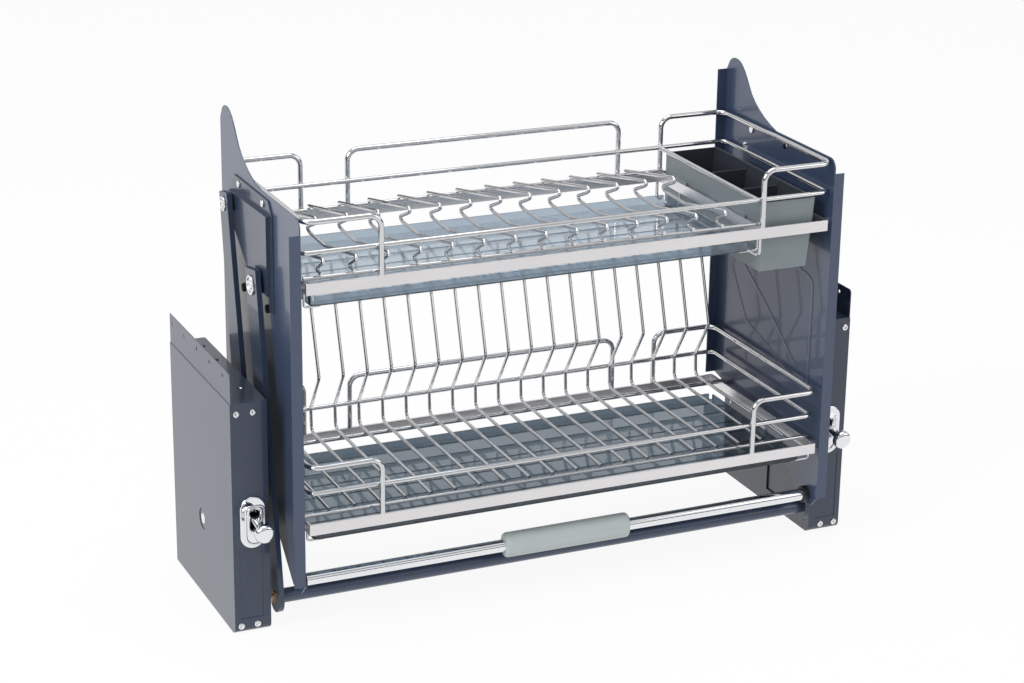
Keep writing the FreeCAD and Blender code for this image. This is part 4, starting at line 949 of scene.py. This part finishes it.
@dataclass
class Guards:
    """Bent rods round the shelves, the rings inside them and the cradle."""

    shop: Workshop
    front: float = -56.2
    rear: float = 227.9
    leg: float = 258.0
    rear_leg: float = 194.0
    wide: float = 7.0
    bend: float = 15.0
    ring_wide: float = 6.0
    ring_bend: float = 10.0
    upper: Shelf = Shelf("upper", 354.0, 539.5, 465.0, 355.2, 500.0)
    lower: Shelf = Shelf("lower", 350.5, 230.3, 157.7, 348.8, 195.0)
    depth_rod_x: float = 253.5
    cradle_x: float = 255.0
    cradle_top: float = 450.5
    cradle_floor: float = 428.2
    cradle_wide: float = 4.5
    cradle_bend: float = 6.0

    def loops(self, shelf: Shelf) -> None:
        """Bend the three guard rods of a shelf.

        Args:
            shelf: The shelf.
        """
        word, top, foot = shelf.word, shelf.guard_top, shelf.bar_top
        for side in Side:
            leg, out = side.value * self.leg, side.value * shelf.guard_side
            rod = bent_wire(f"{word}_guard_bent_{side.word}", [
                (leg, self.front, foot), (leg, self.front, top), (out, self.front, top),
                (out, self.rear, top), (leg, self.rear, top), (leg, self.rear, foot)],
                self.wide, self.bend, sides=24, steps=8)
            self.shop.seat(rod, Coating.WIRE, f"{word}_guard_{side.word}")
        rod = bent_wire(f"{word}_guard_bent_rear", [
            (-self.rear_leg, self.rear, foot), (-self.rear_leg, self.rear, top),
            (self.rear_leg, self.rear, top), (self.rear_leg, self.rear, foot)],
            self.wide, self.bend, sides=24, steps=8)
        self.shop.seat(rod, Coating.WIRE, f"{word}_guard_rear")

    def ring(self, shelf: Shelf) -> Piece:
        """Bend the ring that lies just inside a shelf's guards.

        Args:
            shelf: The shelf.

        Returns:
            The ring.
        """
        inset = (self.wide + self.ring_wide) / 2
        front, rear = self.front + inset, self.rear - inset
        side, height = shelf.ring_side, shelf.ring_height
        return bent_wire(f"{shelf.word}_ring_bent", [
            (0.0, front, height), (-side, front, height), (-side, rear, height),
            (side, rear, height), (side, front, height), (0.0, front, height)],
            self.ring_wide, self.ring_bend, sides=24, steps=8)

    def depth_rod(self, shelf: Shelf) -> Piece:
        """Lay the rod that parts the cutlery box from the bowls.

        Args:
            shelf: The shelf.

        Returns:
            The rod.
        """
        inset = (self.wide + self.ring_wide) / 2
        x, height = self.depth_rod_x, shelf.ring_height
        return bent_wire(f"{shelf.word}_ring_depth_rod", [
            (x, self.front + inset, height), (x, self.rear - inset, height)],
            self.ring_wide, self.ring_bend, sides=24)

    def cradle(self) -> Piece:
        """Bend the wire that carries the cutlery box's inner side."""
        x, top, floor = self.cradle_x, self.cradle_top, self.cradle_floor
        return bent_wire("cradle_bent", [
            (x, self.front, top), (x, self.front, floor), (x, self.rear, floor),
            (x, self.rear, top)], self.cradle_wide, self.cradle_bend)

    def build(self) -> None:
        """Bend all the rods."""
        self.loops(self.upper)
        self.loops(self.lower)
        upper = joined([self.ring(self.upper), self.depth_rod(self.upper)], "upper_ring_bent")
        self.shop.seat(upper, Coating.WIRE, "upper_ring")
        self.shop.seat(self.ring(self.lower), Coating.WIRE, "lower_ring")
        self.shop.seat(self.cradle(), Coating.WIRE, "cutlery_cradle")


@dataclass
class Wires:
    """The rows of bent wires that hold bowls and plates, and their rods."""

    shop: Workshop
    wide: float = 4.5
    bowl_base: float = 472.25
    bowl_first: float = -331.0
    bowl_pitch: float = 41.1
    bowl_count: int = 14
    plate_first: float = -320.0
    plate_pitch: float = 33.6
    plate_count: int = 20
    bowl_bend: float = 3.0
    plate_bend: float = 9.0
    bowl_line: Profile = (
        (223.0, 0.0), (86.0, 27.0), (79.5, 24.0), (86.0, 19.5), (112.5, 8.2), (112.0, 4.6),
        (104.0, 2.6), (50.0, 1.0), (-53.2, 20.4), (-59.1, 17.6), (-52.8, 14.4), (-35.5, 4.6),
        (-36.5, 0.9), (-51.0, 0.0))
    plate_line: Profile = (
        (-35.0, 164.95), (20.0, 165.95), (214.0, 165.95), (216.0, 198.0), (182.0, 251.0),
        (209.0, 337.0), (224.45, 390.0))

    def row(self, name: str, first: float, pitch: float, count: int, line: Profile,
            bend: float, names: Sequence[str]) -> None:
        """Bend one wire and copy it along the rack.

        Args:
            name: The name of the row's wires.
            first: Place of the first wire.
            pitch: From one wire to the next.
            count: Number of wires.
            line: Depths and heights of the wire's corners.
            bend: Radius of the bends.
            names: The CAD pieces that the row stands for.
        """
        wire = bent_wire(f"{name}_0", [(first, y, z) for y, z in line], self.wide, bend)
        self.shop.seat(wire, Coating.WIRE, *names)
        for index in range(1, count):
            twin = copied(wire, f"{name}_{index}", Vector((index * pitch * MM, 0.0, 0.0)))
            self.shop.seat(twin, Coating.WIRE, *names)

    def build(self) -> None:
        """Lay the rods and the rows of wires."""
        self.row("bowl_wire", self.bowl_first, self.bowl_pitch, self.bowl_count,
                 [(y, self.bowl_base + rise) for y, rise in self.bowl_line], self.bowl_bend,
                 ["upper_bowl_wires"])
        self.row("plate_wire", self.plate_first, self.plate_pitch, self.plate_count,
                 self.plate_line, self.plate_bend, ["lower_floor_wires", "lower_rack_wires"])
        self.shop.dress("upper_cross_rods", Coating.WIRE, 0.4)
        self.shop.dress("lower_cross_rods", Coating.WIRE, 0.4)
        self.shop.dress("upper_frame", Coating.BAR, 0.4)
        self.shop.dress("lower_frame", Coating.BAR, 0.4)


@dataclass
class Hooks:
    """The small wire hooks that carry the drip trays."""

    shop: Workshop
    wide: float = 3.0
    bend: float = 3.5
    depths: tuple[float, float] = (-44.0, 168.0)
    side_bar: float = 351.5
    middle_bar: float = 258.5
    upper_bar_foot: float = 450.5
    upper_toe: float = 432.2
    lower_bar_foot: float = 143.5
    lower_toe: float = 132.2
    left_toe_long: float = 20.0
    right_toe_long: float = 25.0

    def build(self) -> None:
        """Bend eight hooks."""
        shelves = (("upper", self.upper_bar_foot, self.upper_toe, self.middle_bar),
                   ("lower", self.lower_bar_foot, self.lower_toe, self.side_bar))
        for word, under, level, right in shelves:
            for index, depth in enumerate(self.depths):
                for name, leg, end in (
                        ("left", -self.side_bar, self.left_toe_long - self.side_bar),
                        ("right", right, right - self.right_toe_long)):
                    hook = bent_wire(f"{word}_hook_{name}_{index}", [
                        (leg, depth, under), (leg, depth, level), (end, depth, level)],
                        self.wide, self.bend)
                    self.shop.seat(hook, Coating.WIRE, "tray_hooks")


@dataclass(frozen=True)
class TrayFloor:
    """A drip tray's floor, on which its ribs stand.

    Attributes:
        name: The tray's CAD piece.
        coating: Its coating.
        right: Where it ends at the user's right.
        rear: Where it ends towards the wall.
        height: Height of its upper face.
    """

    name: str
    coating: Coating
    right: float
    rear: float
    height: float


@dataclass
class Trays:
    """The clear drip trays, and the cutlery box with painted shade on its inner faces."""

    shop: Workshop
    floors: Sequence[TrayFloor] = (
        TrayFloor("upper_drip_tray", Coating.CLEAR, 246.0, 182.0, 435.9),
        # The lower tray's darker tint is painted reflection, over clear plastic
        TrayFloor("lower_drip_tray", Coating.SMOKE, 335.0, 195.0, 135.9))
    left: float = -345.0
    rib_wide: float = 1.4
    rib_pitch: float = 36.0
    rib_inset: float = 6.0
    first_rib: float = -40.0
    rear_inset: float = 8.0
    box_low: Point = (262.0, -46.2, 403.0)
    box_high: Point = (339.0, 217.4, 494.0)
    box_foot_right: float = 330.0
    inside_from: float = 1.75

    def ribs(self, tray: TrayFloor) -> None:
        """Mould ribs across the floor of a tray.

        Args:
            tray: The tray's floor.
        """
        depth, height = self.first_rib, tray.height
        first = bent_wire(f"{tray.name}_rib_0", [
            (self.left + self.rib_inset, depth, height),
            (tray.right - self.rib_inset, depth, height)], self.rib_wide, 0.0, sides=10)
        count = int((tray.rear - self.rear_inset - depth) / self.rib_pitch)
        self.shop.seat(first, tray.coating, tray.name, extra=True)
        for index in range(1, count + 1):
            rib = copied(first, f"{tray.name}_rib_{index}",
                         Vector((0.0, index * self.rib_pitch * MM, 0.0)))
            self.shop.seat(rib, tray.coating, tray.name, extra=True)

    def cutlery(self) -> None:
        """Dress the cutlery box, with painted shade on its inner faces."""
        box = self.shop.refined("cutlery_box", 0.9, 3)
        coat(box, Coating.CUTLERY)
        box.data.materials.append(material(Coating.CUTLERY_IN))
        wall = self.inside_from * MM
        low, high = at(*self.box_low), at(*self.box_high)
        lean = ((self.box_high[0] - self.box_foot_right)
                / (self.box_high[2] - self.box_low[2]))
        # Faces inside the box get the darker copy of the coat: painted shade
        for face in box.data.polygons:
            middle = face.center
            right = high.x - (high.z - middle.z) * lean
            inside = (low.x + wall < middle.x < right - wall
                      and low.y + wall < middle.y < high.y - wall
                      and middle.z > low.z + wall)
            if inside:
                face.material_index = 1
        self.shop.seat(box, None, "cutlery_box")

    def build(self) -> None:
        """Dress the trays and the box."""
        for tray in self.floors:
            self.shop.dress(tray.name, tray.coating, 0.6)
        for tray in self.floors:
            self.ribs(tray)
        self.cutlery()


@dataclass
class HiddenWorks:
    """The springs, dampers and straps inside the housings, as the CAD has them."""

    nodes: dict[str, Piece]
    straps: str = "pull_strap"
    dampers: str = "damper_bodies"
    steel: tuple[str, ...] = ("balance_spring", "spring_", "rear_axle", "lever_pins",
                              "front_pivot_pins")

    def build(self) -> None:
        """Coat the pieces that the housings hide."""
        for name, piece in self.nodes.items():
            if name.startswith(self.straps):
                coating = Coating.STRAP
            elif name == self.dampers:
                coating = Coating.DARK
            elif name.startswith(self.steel):
                coating = Coating.STEEL
            else:
                continue
            coat(piece, coating)
            LOG.info("coated %s", name)


@dataclass(frozen=True)
class Lamp:
    """A square soft lamp.

    Attributes:
        name: Its name.
        place: Where it hangs, in metres.
        target: What it points at, in metres.
        power: Its power in watts.
        size: Its side in metres.
    """

    name: str
    place: Point
    target: Point
    power: float
    size: float


@dataclass
class Studio:
    """Camera, lamps, sky and floor."""

    camera_mm: Point = (-1284.76, -2794.26, 1390.58)
    yaw: float = 0.4251
    pitch: float = 0.3415
    roll: float = 0.0137
    focal_px: float = 2517.09
    frame_px: float = 1024.0
    sensor_mm: float = 36.0
    far_m: float = 50.0
    floor_size: float = 12.0
    floor_drop: float = 0.0005
    floor_seen: float = 0.92
    floor_mirrored: float = 1.0
    sky_strength: float = 0.62
    sky_bands: Sequence[tuple[float, str]] = (
        (0.0, "#8A8D92"), (0.46, "#C4C6C9"), (0.52, "#2E3137"), (0.57, "#4A4D53"),
        (0.62, "#FFFFFF"), (0.76, "#E2E4E6"), (0.84, "#3E4148"), (0.90, "#FFFFFF"))
    lamps: Sequence[Lamp] = (
        Lamp("key", (-2.9, -1.1, 2.2), (0.0, 0.0, 0.3), 68.0, 1.7),
        Lamp("fill", (2.4, -2.0, 1.6), (0.0, 0.0, 0.3), 17.0, 1.8),
        Lamp("top", (0.0, 0.3, 3.0), (0.0, 0.0, 0.2), 26.0, 2.0))

    def camera(self) -> None:
        """Set the camera where the photographer stood."""
        ahead = Vector((math.sin(self.yaw) * math.cos(self.pitch),
                        math.cos(self.yaw) * math.cos(self.pitch), -math.sin(self.pitch)))
        level = Vector((math.cos(self.yaw), -math.sin(self.yaw), 0.0))
        above = level.cross(ahead)
        right = level * math.cos(self.roll) + above * math.sin(self.roll)
        up = above * math.cos(self.roll) - level * math.sin(self.roll)
        data = bpy.data.cameras.new("camera")
        data.sensor_width = self.sensor_mm
        data.lens = self.focal_px / self.frame_px * self.sensor_mm
        data.clip_end = self.far_m
        item = bpy.data.objects.new("camera", data)
        bpy.context.scene.collection.objects.link(item)
        turn = Matrix((right, up, -ahead)).transposed().to_4x4()
        item.matrix_world = Matrix.Translation(Vector(self.camera_mm) * MM) @ turn
        bpy.context.scene.camera = item

    def lights(self) -> None:
        """Hang the soft lamps."""
        for lamp in self.lamps:
            data = bpy.data.lights.new(lamp.name, "AREA")
            data.energy = lamp.power
            data.size = lamp.size
            item = bpy.data.objects.new(lamp.name, data)
            bpy.context.scene.collection.objects.link(item)
            item.location = lamp.place
            aim = Vector(lamp.target) - Vector(lamp.place)
            item.rotation_euler = aim.to_track_quat("-Z", "Y").to_euler()

    def seen(self, tree: Tree, ray: bpy.types.Node) -> bpy.types.Node:
        """Tell what is seen straight or through clear plastic from what lights or mirrors."""
        return node(tree, "ShaderNodeMath", {"operation": "MAXIMUM"},
                    {0: ray.outputs["Is Camera Ray"], 1: ray.outputs["Is Transmission Ray"]})

    def sky(self) -> None:
        """Surround the rack with a pale sky that metal reflects."""
        world = bpy.data.worlds.new("studio")
        bpy.context.scene.world = world
        tree = fresh_tree(world)
        out = node(tree, "ShaderNodeOutputWorld")
        ray = node(tree, "ShaderNodeLightPath")
        seen = self.seen(tree, ray)
        spot = node(tree, "ShaderNodeTexCoord").outputs["Generated"]
        height = node(tree, "ShaderNodeSeparateXYZ", None, {0: spot}).outputs["Z"]
        ramp = node(tree, "ShaderNodeValToRGB", None, {0: node(
            tree, "ShaderNodeMapRange", {"From Min": -1.0, "From Max": 1.0},
            {"Value": height}).outputs["Result"]})
        while len(ramp.color_ramp.elements) < len(self.sky_bands):
            ramp.color_ramp.elements.new(0.5)
        for stop, (place, code) in zip(ramp.color_ramp.elements, self.sky_bands):
            stop.position = place
            stop.color = linear(code)
        mirrored = node(tree, "ShaderNodeBackground", {"Strength": 1.0},
                        {"Color": ramp.outputs["Color"]})
        plain = node(tree, "ShaderNodeBackground", {"Strength": self.sky_strength})
        plain.inputs["Color"].default_value = linear("#F2F4F7")
        white = node(tree, "ShaderNodeBackground", {"Strength": 1.0})
        white.inputs["Color"].default_value = linear("#FFFFFF")
        first = node(tree, "ShaderNodeMixShader", None,
                     {0: ray.outputs["Is Glossy Ray"], 1: plain.outputs[0],
                      2: mirrored.outputs[0]})
        second = node(tree, "ShaderNodeMixShader", None,
                      {0: seen.outputs[0], 1: first.outputs[0], 2: white.outputs[0]})
        tree.links.new(second.outputs[0], out.inputs["Surface"])

    def floor(self) -> None:
        """Lay the pale floor that keeps the rack's shadow."""
        bpy.ops.object.select_all(action="DESELECT")
        bpy.ops.mesh.primitive_plane_add(size=self.floor_size,
                                         location=(0, 0, -self.floor_drop))
        item = bpy.context.active_object
        item.name = "floor"
        made = bpy.data.materials.new("painted_floor_white")
        tree = fresh_tree(made)
        out = node(tree, "ShaderNodeOutputMaterial")
        ray = node(tree, "ShaderNodeLightPath")
        seen = self.seen(tree, ray)
        dull = node(tree, "ShaderNodeBsdfDiffuse")
        dull.inputs["Color"].default_value = linear("#F7F7F7")
        glow = node(tree, "ShaderNodeEmission", {"Strength": 1.0})
        glow.inputs["Color"].default_value = linear("#FFFFFF")
        direct = node(tree, "ShaderNodeMath", {"operation": "MULTIPLY", 1: self.floor_seen},
                      {0: seen.outputs[0]})
        share = node(tree, "ShaderNodeMath",
                     {"operation": "MULTIPLY_ADD", 1: self.floor_mirrored},
                     {0: ray.outputs["Is Glossy Ray"], 2: direct.outputs[0]})
        both = node(tree, "ShaderNodeMixShader", None,
                    {0: share.outputs[0], 1: dull.outputs[0], 2: glow.outputs[0]})
        tree.links.new(both.outputs[0], out.inputs["Surface"])
        item.data.materials.append(made)

    def build(self) -> None:
        """Set up the whole studio."""
        self.camera()
        self.lights()
        self.sky()
        self.floor()
        bpy.context.scene.view_settings.view_transform = "Standard"


def main() -> None:
    """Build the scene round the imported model."""
    logging.basicConfig(level=logging.INFO, format="%(name)s: %(message)s")
    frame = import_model()
    shop = Workshop(frame["nodes"], frame["record"])
    Housings(shop).build()
    Arms(shop).build()
    Panels(shop).build()
    Guards(shop).build()
    Wires(shop).build()
    Hooks(shop).build()
    Trays(shop).build()
    HiddenWorks(frame["nodes"]).build()
    Studio().build()


if __name__ == "__main__":
    main()
